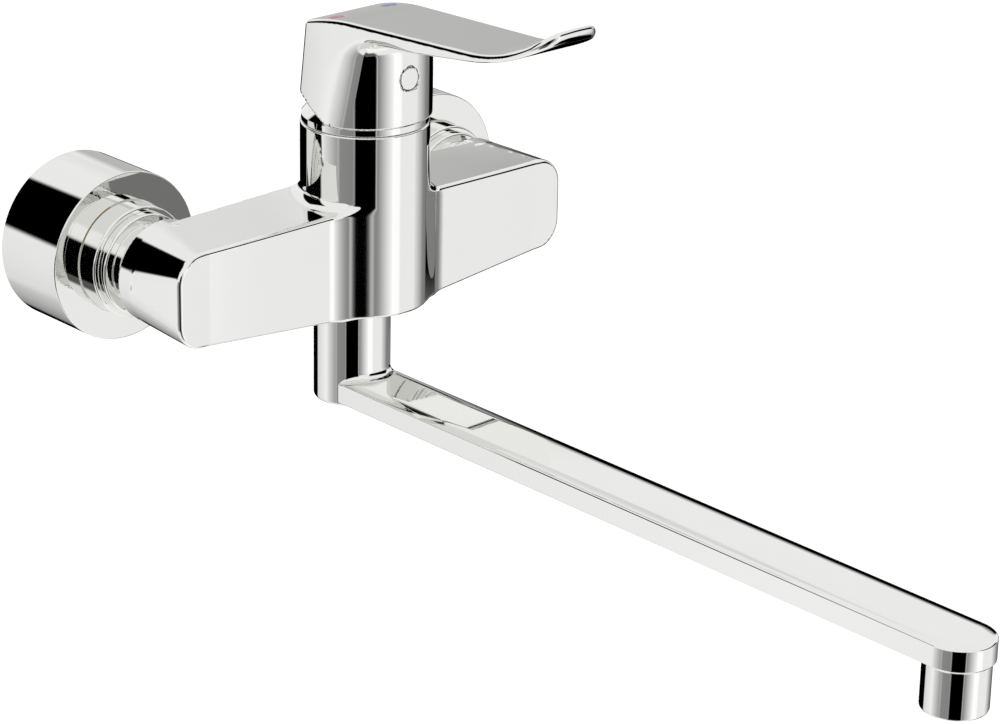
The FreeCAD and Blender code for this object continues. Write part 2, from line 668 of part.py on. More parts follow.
def make_cartridge():
    """The ceramic cartridge, from its seals up to the nut that holds it down."""
    body = new_body("base_seals", **CARTRIDGE)
    body.AllowCompound = True
    seals = new_sketch(body, "XY_Plane", "cavity_floor_height")
    draw_ports(seals, "cartridge_port_radius + seal_width")
    draw_ports(seals, "cartridge_port_radius")
    pad(body, seals, "seal_thickness")

    body = new_body("cartridge_base", **CARTRIDGE)
    pad_disc(body, "cartridge_radius", "cavity_floor_height", "base_top")
    ports = draw_ports(new_sketch(body, "XY_Plane", "base_top"), "cartridge_port_radius")
    pocket(body, ports, "base_thickness")
    seats = draw_ports(new_sketch(body, "XY_Plane", "cavity_floor_height"),
                       "cartridge_port_radius + seal_width + running_gap")
    pocket(body, seats, "seal_thickness", reverse=True)

    body = new_body("fixed_disc", **CARTRIDGE)
    pad_disc(body, "fixed_disc_radius", "base_top", "fixed_disc_top")
    ports = draw_ports(new_sketch(body, "XY_Plane", "fixed_disc_top"), "cartridge_port_radius")
    pocket(body, ports, "disc_thickness")

    # The control disc's recess is a T: its bar opens over the inlets, its stem stays on the outlet
    body = new_body("control_disc", **CARTRIDGE)
    pad_disc(body, "control_disc_radius", "control_disc_bottom", "control_disc_top")
    recess = draw_outline(new_sketch(body, "XY_Plane", "control_disc_bottom"), [
        ("-recess_half_width", "recess_edge"),
        ("recess_half_width", "recess_edge"),
        ("recess_half_width", "recess_shoulder"),
        ("recess_stem_half", "recess_shoulder"),
        ("recess_stem_half", "recess_end"),
        ("-recess_stem_half", "recess_end"),
        ("-recess_stem_half", "recess_shoulder"),
        ("-recess_half_width", "recess_shoulder"),
    ])
    pocket(body, recess, "recess_depth", reverse=True)

    body = new_body("disc_carrier", **CARTRIDGE)
    pad_disc(body, "control_disc_radius", "control_disc_top", "carrier_top")
    socket = draw_circle(new_sketch(body, "XY_Plane", "carrier_top"),
                         "0", "0", "ball_radius + face_gap")
    pocket(body, socket, "carrier_top - ball_height + ball_radius + running_gap")

    # The rotor turns in the housing and carries the lever's pin across its slot
    body = new_body("cartridge_rotor", **CARTRIDGE)
    pad_disc(body, "housing_bore_radius - face_gap", "rotor_bottom", "rotor_flange_top")
    pad_disc(body, "rotor_radius", "rotor_flange_top", "rotor_height")
    slot = draw_box(new_sketch(body, "XY_Plane", "rotor_height"),
                    "-spindle_width / 2 - face_gap", "spindle_width / 2 + face_gap",
                    "-rotor_slot_half", "rotor_slot_half")
    pocket(body, slot, "rotor_height - rotor_bottom")
    cross = draw_circle(new_sketch(body, "YZ_Plane"), "0", "pin_height", "pin_radius")
    pocket(body, cross, "rotor_radius * 2 + joint_gap", symmetric=True)

    # The rotor's cap fills the dome's mouth, with a slot for the spindle's swing
    body = new_body("rotor_cap", **LEVER)
    turn(body, "XZ_Plane", [
        ("rotor_radius - rotor_cap_wall", "rotor_height - pin_height"),
        ("rotor_radius", "rotor_height - pin_height"),
        ("rotor_radius", "sqrt(rotor_cap_inner ^ 2 - rotor_radius ^ 2)", "right", "rotor_cap_inner"),
        ("rotor_cap_edge", "sqrt(rotor_cap_inner ^ 2 - rotor_cap_edge ^ 2)"),
        ("rotor_cap_edge", "sqrt(rotor_cap_outer ^ 2 - rotor_cap_edge ^ 2)",
         "left", "rotor_cap_outer"),
        ("rotor_radius - rotor_cap_wall",
         "sqrt(rotor_cap_outer ^ 2 - (rotor_radius - rotor_cap_wall) ^ 2)"),
    ])
    slot = draw_box(new_sketch(body, "XY_Plane", "rotor_height - pin_height"),
                    "-spindle_width / 2 - face_gap", "spindle_width / 2 + face_gap",
                    "0", "rotor_cap_edge - rotor_cap_wall")
    pocket(body, slot, "rotor_cap_outer", reverse=True)

    body = new_body("lever_pin", **LEVER)
    pin = draw_circle(new_sketch(body, "YZ_Plane"), "0", "0", "pin_radius")
    pad(body, pin, "(rotor_radius - joint_gap) * 2", symmetric=True)

    body = new_body("cartridge_housing", **CARTRIDGE)
    turn(body, "XZ_Plane", [
        ("fixed_disc_radius + face_gap", "base_top"),
        ("cartridge_radius", "base_top"),
        ("cartridge_radius", "housing_shoulder_height"),
        ("housing_neck_radius", "housing_shoulder_height"),
        ("housing_neck_radius", "housing_height"),
        ("rotor_radius + face_gap", "housing_height"),
        ("rotor_radius + face_gap", "rotor_flange_top + face_gap"),
        ("housing_bore_radius", "rotor_flange_top + face_gap"),
        ("housing_bore_radius", "fixed_disc_top"),
        ("fixed_disc_radius + face_gap", "fixed_disc_top"),
    ])

    body = new_body("cartridge_nut", **CARTRIDGE)
    turn(body, "XZ_Plane", [
        ("housing_neck_radius + face_gap", "housing_shoulder_height"),
        ("dome_skirt_radius", "housing_shoulder_height"),
        ("dome_skirt_radius", "cartridge_nut_top"),
        ("housing_neck_radius + face_gap", "cartridge_nut_top"),
    ])
    hole_ring(body, "XY_Plane", "cartridge_nut_top",
              "(housing_neck_radius + dome_skirt_radius) / 2",
              "spanner_hole_radius", 6, "spanner_hole_depth")


def make_dome_cap():
    """The dome ring screws into the tower; its ball face follows the lever's swing."""
    body = new_body("dome_cap", **CARTRIDGE)
    turn(body, "XZ_Plane", [
        ("dome_skirt_bore", "cartridge_nut_top + joint_gap"),
        ("dome_skirt_radius", "cartridge_nut_top + joint_gap"),
        ("dome_skirt_radius", "dome_bottom"),
        ("dome_ring_radius", "dome_bottom"),
        ("dome_ring_radius", "dome_ring_height", "left", "dome_radius"),
        ("dome_top_radius", "dome_top_height"),
        ("dome_mouth_radius", "pin_height + sqrt(dome_inner_radius ^ 2 - dome_mouth_radius ^ 2)",
         "right", "dome_inner_radius"),
        ("dome_skirt_bore", "pin_height + sqrt(dome_inner_radius ^ 2 - dome_skirt_bore ^ 2)"),
    ])


def make_spindle():
    """The square spindle, with the ball below the pin that moves the control disc."""
    body = new_body("lever_spindle", **LEVER)
    turn(body, "XZ_Plane", [
        ("0", "-ball_drop - ball_radius", "left", "ball_radius"),
        ("ball_radius", "-ball_drop", "left", "ball_radius"),
        ("spindle_neck_radius", "-ball_drop + sqrt(ball_radius ^ 2 - spindle_neck_radius ^ 2)"),
        ("spindle_neck_radius", "-spindle_foot"),
        ("0", "-spindle_foot"),
    ])
    square = draw_box(new_sketch(body, "XY_Plane", "-spindle_foot"),
                      "-spindle_width / 2", "spindle_width / 2",
                      "-spindle_width / 2", "spindle_width / 2")
    pad(body, square, "spindle_height - pin_height + spindle_foot")
    cross = draw_circle(new_sketch(body, "YZ_Plane"), "0", "0", "pin_radius + running_gap")
    pocket(body, cross, "spindle_width * 2", symmetric=True)


# Radii of arcs that leave a straight edge without a kink and pass through a given point
CROWN_RADIUS = ("(blade_crown_run ^ 2 + blade_crown_rise ^ 2) / 2"
                " / (blade_crown_rise * blade_waist_cosine - blade_crown_run * blade_waist_sine)")
UNDER_RADIUS = ("(blade_tip_run ^ 2 + blade_under_rise ^ 2) * sqrt(1 + blade_under_slope ^ 2) / 2"
                " / (blade_under_rise - blade_tip_run * blade_under_slope)")


def draw_crown(sketch, height):
    """The outline above the handle's crowned top, up to a height over the pin."""
    return draw_outline(sketch, [
        ("axis_depth - blade_crown_depth", "blade_crown_height - pin_height",
         "right", CROWN_RADIUS),
        ("handle_back", "handle_back_height - pin_height"),
        ("handle_back", height),
        ("axis_depth - blade_crown_depth", height),
    ])


def taper_section(body, level, back_half, side_half, end_half):
    """The handle's outline from above: flanks, a long taper and the blade's round end."""
    chord = f"({end_half} - blade_end_corner * (1 - sin(blade_end_angle)))"
    chord_y = "blade_shoulder - blade_end_corner * cos(blade_end_angle)"
    return draw_outline(new_sketch(body, "XY_Plane", level), [
        (back_half, "handle_back - handle_back_corner", "left", "handle_back_corner"),
        (f"{back_half} - handle_back_corner", "handle_back"),
        (f"handle_back_corner - {back_half}", "handle_back", "left", "handle_back_corner"),
        (f"-{back_half}", "handle_back - handle_back_corner"),
        (f"-{side_half}", "axis_depth - handle_flank_depth"),
        (f"-{end_half}", "blade_shoulder", "left", "blade_end_corner"),
        (f"-{chord}", chord_y, "left", f"{chord} / sin(blade_end_angle)"),
        (chord, chord_y, "left", "blade_end_corner"),
        (end_half, "blade_shoulder"),
        (side_half, "axis_depth - handle_flank_depth"),
    ])


def make_handle():
    """The lever handle, about the pin's centre: its side outline cut by its tapered plan."""
    taper = new_body("handle_taper", kept=False)
    low = taper_section(taper, "handle_rim_height - pin_height", "handle_low_half_width",
                        "handle_radius", "blade_low_half_width")
    high = taper_section(taper, "handle_taper_height - pin_height", "handle_high_half_width",
                         "flank_high_half_width", "blade_high_half_width")
    loft = taper.newObject("PartDesign::AdditiveLoft", "AdditiveLoft")
    loft.Profile = low
    loft.Sections = [high]
    loft.Ruled = True

    # The blade's side outline: a crowned top, a long waist and an upturned tip
    body = new_body("handle", **LEVER)
    side = draw_outline(new_sketch(body, "YZ_Plane"), [
        ("handle_back", "blade_root_height - pin_height"
                        " - blade_under_slope * (handle_radius + handle_back)"),
        ("axis_depth - blade_bend_depth", "blade_under_height - pin_height",
         "right", UNDER_RADIUS),
        ("blade_tip", "blade_tip_height - blade_tip_thickness - pin_height"),
        ("blade_tip", "blade_tip_height - pin_height", "left", "blade_bend_radius"),
        ("axis_depth - blade_bend_depth", "blade_bend_height - pin_height"),
        ("axis_depth - blade_crown_depth", "blade_crown_height - pin_height",
         "right", CROWN_RADIUS),
        ("handle_back", "handle_back_height - pin_height"),
    ])
    pad(body, side, "handle_radius * 3", symmetric=True)

    # The head below the blade: a round front with straight flanks behind it
    head = draw_outline(new_sketch(body, "XY_Plane", "handle_rim_height - pin_height"), [
        ("0", "-handle_radius", "left", "handle_radius"),
        ("handle_radius", "0"),
        ("handle_radius", "handle_back"),
        ("-handle_radius", "handle_back"),
        ("-handle_radius", "0", "left", "handle_radius"),
    ])
    pad(body, head, "handle_back_height - joint_gap * 2 - handle_rim_height")
    common = body.newObject("PartDesign::Boolean", "Boolean")
    common.setObjects([taper])
    common.Type = "Common"
    dress(body, "Fillet", "blade_arch_radius", is_blade_arch)
    doc.recompute()
    dress(body, "Fillet", "blade_edge_radius", borders_top(body.Tip.Shape))

    # The heel clears the body when the lever lifts; the ball face rides over the dome
    heel = draw_outline(new_sketch(body, "YZ_Plane"), [
        ("axis_depth - heel_depth", "handle_rim_height - pin_height"),
        ("handle_radius", "handle_rim_height - pin_height"),
        ("handle_radius", "handle_rim_height - pin_height"
                          " + heel_slope * (handle_radius + heel_depth - axis_depth)"),
    ])
    pocket(body, heel, "handle_radius * 3", symmetric=True)
    turn(body, "XZ_Plane", [
        ("0", "0"),
        ("handle_sphere_radius", "0", "left", "handle_sphere_radius"),
        ("0", "handle_sphere_radius"),
    ], "Groove")

    # The square hole for the spindle, the grub screw's hole with its cap's seat, the index seats
    hole = draw_box(new_sketch(body, "XY_Plane"),
                    "-spindle_width / 2 - face_gap", "spindle_width / 2 + face_gap",
                    "-spindle_width / 2 - face_gap", "spindle_width / 2 + face_gap")
    pocket(body, hole, "spindle_height - pin_height + joint_gap", reverse=True)
    screw = draw_circle(new_sketch(body, "XZ_Plane", "-spindle_width / 2"),
                        "0", "handle_screw_height - pin_height", "handle_screw_radius")
    pocket(body, screw, "handle_radius", reverse=True)
    seat = draw_circle(new_sketch(body, "XZ_Plane", "screw_cap_thickness - handle_radius"),
                       "0", "handle_screw_height - pin_height", "screw_cap_radius + face_gap")
    pocket(body, seat, "handle_radius", reverse=True)
    marks = new_sketch(body, "XY_Plane", "index_floor_height - pin_height")
    for side_sign in (-1, 1):
        draw_circle(marks, f"{side_sign} * index_spread", "axis_depth - index_depth",
                    "index_radius + running_gap")
    pocket(body, marks, "index_radius * 3", reverse=True)


def is_blade_arch(edge):
    """The round edge where the blade's underside meets the head's front."""
    box = edge.BoundBox
    at_front = near(box.YMin, -value("handle_radius"), 0.01)
    return at_front and box.ZMin > value("blade_root_height - pin_height - blade_arch_radius * 2")


def borders_top(shape):
    """A test for the edges of the handle's top faces in front of its widest place."""
    tops = [face for face in shape.Faces if is_top(face)]
    front = value("axis_depth - handle_flank_depth + running_gap")

    def test(edge):
        uses = sum(edge.isSame(other) for face in tops for other in face.Edges)
        return uses == 1 and edge.BoundBox.YMax < front

    return test


def is_top(face):
    first, last, low, high = face.ParameterRange
    normal = face.normalAt((first + last) / 2, (low + high) / 2)
    return normal.z > 0.5 and face.Area > value("handle_radius ^ 2")


def make_handle_trim():
    """The grub screw that holds the handle, its cap and the two index marks."""
    key = "handle_screw_key_radius"
    body = new_body("handle_screw", y="-axis_depth", z="handle_screw_height")
    grub = draw_circle(new_sketch(body, "XZ_Plane", "-spindle_width / 2 - running_gap"),
                       "0", "0", "handle_screw_radius - running_gap")
    pad(body, grub, "handle_screw_length")
    socket = draw_outline(
        new_sketch(body, "XZ_Plane", "-spindle_width / 2 - handle_screw_length"),
        [(f"{key} * cos({turn_angle})", f"{key} * sin({turn_angle})")
         for turn_angle in range(30, 390, 60)])
    pocket(body, socket, "handle_screw_radius")

    body = new_body("screw_cap", y="-axis_depth", z="handle_screw_height")
    turn(body, "XY_Plane", [
        ("0", "screw_cap_thickness - handle_radius"),
        ("screw_cap_radius", "screw_cap_thickness - handle_radius"),
        ("screw_cap_radius", "-sqrt(handle_radius ^ 2 - screw_cap_radius ^ 2)",
         "right", "handle_radius"),
        ("0", "-handle_radius"),
    ])

    for name, side in (("hot_index", -1), ("cold_index", 1)):
        body = new_body(name, **LEVER)
        mark = draw_circle(new_sketch(body, "XY_Plane", "index_floor_height - pin_height"),
                           f"{side} * index_spread", "axis_depth - index_depth", "index_radius")
        pad(body, mark, "index_radius * 2")
        crown = draw_crown(new_sketch(body, "YZ_Plane"), "handle_taper_height - pin_height")
        pocket(body, crown, "handle_radius * 2", symmetric=True)


def make_spout():
    """The riser with its spigot, the flat hollow arm with its outlet, and what holds and seals."""
    body = new_body("spout_riser", **SPOUT)
    turn(body, "XZ_Plane", [
        ("0", "-riser_drop"),
        ("riser_radius - riser_round", "-riser_drop", "left", "riser_round"),
        ("riser_radius", "-riser_drop + riser_round"),
        ("riser_radius", "-riser_top_drop"),
        ("spigot_radius", "-riser_top_drop"),
        ("spigot_radius", "-spigot_drop"),
        ("riser_bore_radius", "-spigot_drop"),
        ("riser_bore_radius", "-riser_drop + riser_floor"),
        ("0", "-riser_drop + riser_floor"),
    ])
    grooves = (("upper_ring_drop", "ring_groove_width"), ("lower_ring_drop", "ring_groove_width"),
               ("retainer_drop", "retainer_groove_width"))
    for drop, width in grooves:
        turn(body, "XZ_Plane", [
            ("spigot_radius - ring_groove_depth", f"-{drop} - {width} / 2"),
            ("riser_radius", f"-{drop} - {width} / 2"),
            ("riser_radius", f"-{drop} + {width} / 2"),
            ("spigot_radius - ring_groove_depth", f"-{drop} + {width} / 2"),
        ], "Groove")
    window = draw_box(new_sketch(body, "XZ_Plane"),
                      "-riser_bore_radius + face_gap", "riser_bore_radius - face_gap",
                      "-arm_bottom_drop + arm_wall", "-arm_top_drop - arm_wall")
    pocket(body, window, "riser_radius", reverse=True)

    # The arm: a flat bar with a round end over the outlet's nozzle
    body = new_body("spout_arm", **SPOUT)
    bar = draw_outline(new_sketch(body, "XY_Plane", "-arm_bottom_drop"), [
        ("arm_half", "-riser_bore_radius"),
        ("-arm_half", "-riser_bore_radius"),
        ("-arm_half", "-arm_length", "left", "arm_half"),
        ("0", "-arm_length - arm_half", "left", "arm_half"),
        ("arm_half", "-arm_length"),
    ])
    pad(body, bar, "arm_bottom_drop - arm_top_drop")
    dress(body, "Fillet", "arm_top_round", lambda edge: is_arm_rim(edge, "-arm_top_drop"))
    dress(body, "Fillet", "arm_bottom_round", lambda edge: is_arm_rim(edge, "-arm_bottom_drop"))
    nozzle = draw_circle(new_sketch(body, "XY_Plane", "-outlet_drop"),
                         "0", "-arm_length", "outlet_radius")
    pad(body, nozzle, "outlet_drop - arm_bottom_drop + arm_bottom_round")
    channel = draw_box(new_sketch(body, "XY_Plane", "-arm_top_drop - arm_wall"),
                       "arm_wall - arm_half", "arm_half - arm_wall",
                       "-arm_length - riser_bore_radius", "0")
    pocket(body, channel, "arm_bottom_drop - arm_top_drop - arm_wall * 2")
    throat = draw_circle(new_sketch(body, "XY_Plane", "-outlet_drop"),
                         "0", "-arm_length", "outlet_throat_radius")
    pocket(body, throat, "outlet_drop - arm_bottom_drop + arm_wall * 2", reverse=True)
    bore = draw_circle(new_sketch(body, "XY_Plane", "-outlet_drop"),
                       "0", "-arm_length", "outlet_bore_radius")
    pocket(body, bore, "outlet_drop - aerator_seal_drop", reverse=True)
    root = draw_circle(new_sketch(body, "XY_Plane"), "0", "0", "riser_radius")
    pocket(body, root, "outlet_drop")

    # The rings on the spigot, and the screw behind the body whose tip runs in the lower groove
    body = new_body("spigot_rings", **SPOUT)
    body.AllowCompound = True
    for drop in ("upper_ring_drop", "lower_ring_drop"):
        turn(body, "XZ_Plane", [
            ("spigot_radius - ring_groove_depth", f"-{drop} - ring_groove_depth / 2"),
            ("spigot_radius", f"-{drop} - ring_groove_depth / 2"),
            ("spigot_radius", f"-{drop} + ring_groove_depth / 2"),
            ("spigot_radius - ring_groove_depth", f"-{drop} + ring_groove_depth / 2"),
        ])

    body = new_body("spout_retaining_screw", y="-riser_depth", z="-retainer_drop")
    turn(body, "XY_Plane", [
        ("0", "spigot_radius - ring_groove_depth + joint_gap"),
        ("retainer_tip_radius", "spigot_radius - ring_groove_depth + joint_gap"),
        ("retainer_tip_radius", "spigot_radius + joint_gap"),
        ("retainer_radius - running_gap", "spigot_radius + joint_gap"),
        ("retainer_radius - running_gap", "spigot_radius + retainer_length"),
        ("0", "spigot_radius + retainer_length"),
    ])


def is_arm_rim(edge, level):
    box = edge.BoundBox
    flat = near(box.ZMin, value(level)) and near(box.ZMax, box.ZMin)
    return flat and box.YMin < -value("riser_radius * 2")


def make_aerator():
    """The screwed aerator in the outlet: housing, perforated insert and seal."""
    flat_ring("aerator_housing", "aerator_radius", "aerator_bore_radius",
              "-aerator_bottom_drop", "-aerator_top_drop", **OUTLET)
    flat_ring("aerator_seal", "aerator_radius", "outlet_throat_radius",
              "-aerator_top_drop", "-aerator_seal_drop", **OUTLET)
    body = new_body("aerator_insert", **OUTLET)
    bottom = "-aerator_bottom_drop + aerator_recess"
    pad_disc(body, "aerator_bore_radius - running_gap", bottom, f"{bottom} + aerator_plate")
    for distance, count in (("aerator_hole_radius * 3.2", 6), ("aerator_hole_radius * 6.4", 12)):
        hole_ring(body, "XY_Plane", bottom, distance, "aerator_hole_radius", count,
                  "aerator_plate", reverse=True)


make_wall_union("left", -1)
make_wall_union("right", 1)
make_mixer_body()
make_cartridge()
make_dome_cap()
make_spindle()
make_handle()
make_handle_trim()
make_spout()
make_aerator()
doc.recompute()

failed = [item for item in doc.Objects if "Invalid" in item.State or "Error" in item.State]
if failed:
    names = [f"{item.getParentGeoFeatureGroup().Label}/{item.Name}" for item in failed]
    raise ValueError(f"these objects failed: {names}")
for part in parts:
    if part.Shape.isNull() or not part.Shape.isValid():
        raise ValueError(f"{part.Label} has no valid shape")

os.makedirs("parts", exist_ok=True)
for part in parts:
    part.Shape.exportStep(f"parts/{part.Label}.step")
    print(part.Label, len(part.Shape.Solids), round(part.Shape.Volume, 1))
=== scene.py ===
import json
import math

import bmesh
import bpy
import numpy as np
from mathutils import Matrix, Vector


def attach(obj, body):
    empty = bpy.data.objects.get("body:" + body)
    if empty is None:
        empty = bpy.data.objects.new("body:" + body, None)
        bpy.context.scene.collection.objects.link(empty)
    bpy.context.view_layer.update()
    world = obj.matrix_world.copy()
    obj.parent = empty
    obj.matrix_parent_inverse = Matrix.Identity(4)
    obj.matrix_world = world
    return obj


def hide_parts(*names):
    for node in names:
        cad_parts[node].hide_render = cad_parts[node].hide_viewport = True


# Wall-mounted single-lever kitchen mixer in polished chrome, with a long flat swivel spout.
# Everything is in metres in the frame of the CAD model: the wall is the plane y = 0, the room
# is on its -Y side, +Z is up, and the origin lies midway between the two inlets.

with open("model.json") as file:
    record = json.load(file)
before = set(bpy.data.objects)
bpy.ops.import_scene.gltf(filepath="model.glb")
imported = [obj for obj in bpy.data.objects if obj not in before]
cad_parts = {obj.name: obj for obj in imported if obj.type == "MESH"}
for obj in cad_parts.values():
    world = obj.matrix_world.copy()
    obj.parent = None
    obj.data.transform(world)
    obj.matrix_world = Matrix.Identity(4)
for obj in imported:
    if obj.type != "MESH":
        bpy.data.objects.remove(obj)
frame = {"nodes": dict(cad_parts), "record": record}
nodes = frame["nodes"]
body_of_node = {node: body for body, group in frame["record"]["behaviour"]["bodies"].items()
                for node in group}
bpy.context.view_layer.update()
scene = bpy.context.scene

MM = 0.001
WELD = 2e-6
SKIN_WELD_MM = 0.002
TINY_AREA = 1e-14
ROUND_STEPS = 6
SHARP_ANGLE = math.radians(35)
CLOUD_MM = 18

# How a distance field becomes a mesh: the step of its slope, the least slope, the rounds in
# which the points settle, and how many cells a point may leave its own
SLOPE_STEP = 0.01
LEAST_SLOPE_SQUARED = 0.25
SETTLE_ROUNDS = 5
CELL_REACH = 0.75

# Sizes of the CAD model that several pieces share, in millimetres
INLET_X = 75
TOWER_Y = -80
TOWER_RADIUS = 24
RISER_Y = -73
RISER_RADIUS = 14.5
OUTLET_Y = -373
HEAD_RADIUS = 24.7
HEAD_FOOT = 52.5
BALL_HEIGHT = 33
SCREW_HEIGHT = 70.2


# ---------------------------------------------------------------- colours and materials

def linear(code):
    """An sRGB hex colour as linear RGBA."""
    channels = [int(code[i:i + 2], 16) / 255 for i in (1, 3, 5)]
    return [c / 12.92 if c <= 0.04045 else ((c + 0.055) / 1.055) ** 2.4 for c in channels] + [1]


def add_node(tree, kind, settings=None, **inputs):
    """Adds a shader node with its settings, and with its named inputs set or linked."""
    node = tree.nodes.new(kind)
    for name, setting in (settings or {}).items():
        setattr(node, name, setting)
    for name, given in inputs.items():
        socket = node.inputs[name.replace("_", " ")]
        if isinstance(given, bpy.types.NodeSocket):
            tree.links.new(given, socket)
        else:
            socket.default_value = given
    return node


def new_material(name):
    material = bpy.data.materials.new(name)
    material.use_nodes = True
    tree = material.node_tree
    tree.nodes.clear()
    return material, tree, tree.nodes.new("ShaderNodeOutputMaterial")


def tinted(tree, share, colour, depth):
    """A colour that varies down to a slightly deeper one by a share."""
    blend = add_node(tree, "ShaderNodeMix", {"data_type": "RGBA"})
    tree.links.new(share, blend.inputs["Factor"])
    blend.inputs[6].default_value = [c * (1 - depth) for c in linear(colour)[:3]] + [1]
    blend.inputs[7].default_value = linear(colour)
    return blend.outputs[2]


def metal(name, colour, roughness, spread, grain_mm, bump_mm):
    """A bare or plated metal: its gloss varies softly, and its surface has a fine grain."""
    material, tree, output = new_material(name)
    place = add_node(tree, "ShaderNodeTexCoord").outputs["Object"]
    cloud = add_node(tree, "ShaderNodeTexNoise", Vector=place, Scale=1 / (CLOUD_MM * MM),
                     Detail=3.0)
    gloss = add_node(tree, "ShaderNodeMapRange", Value=cloud.outputs["Fac"],
                     To_Min=roughness - spread, To_Max=roughness + spread)
    grain = add_node(tree, "ShaderNodeTexNoise", Vector=place, Scale=1 / (grain_mm * MM),
                     Detail=2.0)
    bump = add_node(tree, "ShaderNodeBump", Height=grain.outputs["Fac"], Distance=bump_mm * MM,
                    Strength=1.0)
    shader = add_node(tree, "ShaderNodeBsdfPrincipled", Metallic=1.0,
                      Base_Color=tinted(tree, cloud.outputs["Fac"], colour, 0.02),
                      Roughness=gloss.outputs["Result"], Normal=bump.outputs["Normal"])
    tree.links.new(shader.outputs["BSDF"], output.inputs["Surface"])
    return material


def plastic(name, colour, roughness, grain_mm, bump_mm, coat=0.0):
    """A moulded plastic, ceramic, enamel or rubber with a fine surface grain."""
    material, tree, output = new_material(name)
    place = add_node(tree, "ShaderNodeTexCoord").outputs["Object"]
    grain = add_node(tree, "ShaderNodeTexNoise", Vector=place, Scale=1 / (grain_mm * MM),
                     Detail=3.0)
    gloss = add_node(tree, "ShaderNodeMapRange", Value=grain.outputs["Fac"],
                     To_Min=roughness * 0.85, To_Max=roughness * 1.15)
    bump = add_node(tree, "ShaderNodeBump", Height=grain.outputs["Fac"], Distance=bump_mm * MM,
                    Strength=1.0)
    shader = add_node(tree, "ShaderNodeBsdfPrincipled", Coat_Weight=coat,
                      Base_Color=tinted(tree, grain.outputs["Fac"], colour, 0.08),
                      Roughness=gloss.outputs["Result"], Normal=bump.outputs["Normal"])
    tree.links.new(shader.outputs["BSDF"], output.inputs["Surface"])
    return material


FINISHES = {
    # Bright chrome plate on polished brass: mirror gloss with a faint haze
    "chrome": metal("polished_chrome_plate", "#E9E9E7", 0.035, 0.012, 6, 0.0004),
    # Machined brass, turned and left bare
    "brass": metal("turned_brass", "#C8A45C", 0.28, 0.06, 0.6, 0.004),
    # Stainless steel with a fine drawn surface
    "steel": metal("drawn_stainless_steel", "#B9BABC", 0.3, 0.06, 0.5, 0.004),
    # Moulded nitrile rubber
    "seal_rubber": plastic("moulded_nitrile_rubber", "#1B1B1C", 0.6, 0.5, 0.004),
    # Glass-filled plastic of the cartridge
    "cartridge_plastic": plastic("moulded_cartridge_acetal", "#D8D8D4", 0.45, 0.8, 0.006),
    # Lapped alumina
    "ceramic": plastic("lapped_alumina", "#F0EEE6", 0.15, 0.3, 0.0005),
    # Glossy enamel in the engraved marks
    "red_enamel": plastic("red_enamel", "#C4161C", 0.2, 0.6, 0.001, coat=0.5),
    "blue_enamel": plastic("blue_enamel", "#1E4FA8", 0.2, 0.6, 0.001, coat=0.5),
}

slot_of_node = {row["node"]: row["material_slot"] for row in frame["record"]["subparts"]}


def set_material(obj, material):
    obj.data.materials.clear()
    obj.data.materials.append(material)


for name, node in nodes.items():
    set_material(node, FINISHES[slot_of_node[name]])


# ---------------------------------------------------------------- meshes with exact normals

def take_place(obj, node):
    """Links a finished piece in the place of a CAD node, with that node's body and finish."""
    scene.collection.objects.link(obj)
    set_material(obj, FINISHES[slot_of_node[node]])
    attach(obj, body_of_node[node])
    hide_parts(node)
    return obj


def smooth_copy(node):
    """A welded copy of a CAD node with smooth shading between its sharp edges."""
    mesh = nodes[node].data.copy()
    work = bmesh.new()
    work.from_mesh(mesh)
    bmesh.ops.remove_doubles(work, verts=work.verts, dist=WELD)
    work.to_mesh(mesh)
    work.free()
    mesh.shade_smooth()
    mesh.set_sharp_from_angle(angle=SHARP_ANGLE)
    return take_place(bpy.data.objects.new(f"{node}_plated", mesh), node)


class Skin:
    """A mesh gathered from grids of points in millimetres, each with its own exact normals."""

    def __init__(self):
        self.index, self.points, self.faces, self.normals = {}, [], [], []

    def vertex(self, point):
        key = tuple(round(c / SKIN_WELD_MM) for c in point)
        if key not in self.index:
            self.index[key] = len(self.points)
            self.points.append([c * MM for c in point])
        return self.index[key]

    def grid(self, rows, normals):
        """Adds the quads between neighbouring rows of points; their order is free."""
        for i in range(len(rows) - 1):
            for j in range(len(rows[i]) - 1):
                corners = []
                for row, column in ((i, j), (i + 1, j), (i + 1, j + 1), (i, j + 1)):
                    number = self.vertex(rows[row][column])
                    if number not in [c[0] for c in corners]:
                        corners.append((number, Vector(normals[row][column]).normalized()))
                if len(corners) > 2:
                    self.face(corners)

    def face(self, corners):
        places = [Vector(self.points[number]) for number, _ in corners]
        facing = sum(((places[k] - places[0]).cross(places[k + 1] - places[0])
                      for k in range(1, len(places) - 1)), Vector())
        if facing.length < TINY_AREA:
            return
        if facing.dot(sum((normal for _, normal in corners), Vector())) < 0:
            corners.reverse()
        self.faces.append([number for number, _ in corners])
        self.normals.extend(normal for _, normal in corners)

    def make(self, name, node):
        mesh = bpy.data.meshes.new(name)
        mesh.from_pydata(self.points, [], self.faces)
        mesh.shade_smooth()
        mesh.normals_split_custom_set(self.normals)
        return take_place(bpy.data.objects.new(name, mesh), node)


def arc(centre, radius, first, last, outward=1, steps=ROUND_STEPS):
    """A span along an arc from one angle to another: its points and its outward normals."""
    turns = [math.radians(first + (last - first) * k / steps) for k in range(steps + 1)]
    normals = [(outward * math.cos(a), outward * math.sin(a)) for a in turns]
    points = [(centre[0] + radius * math.cos(a), centre[1] + radius * math.sin(a))
              for a in turns]
    return points, normals


def straight(start, end):
    """A span along a line, with its normals to the right of its run."""
    run = Vector((end[0] - start[0], end[1] - start[1])).normalized()
    normal = (run.y, -run.x)
    return [start, end], [normal, normal]


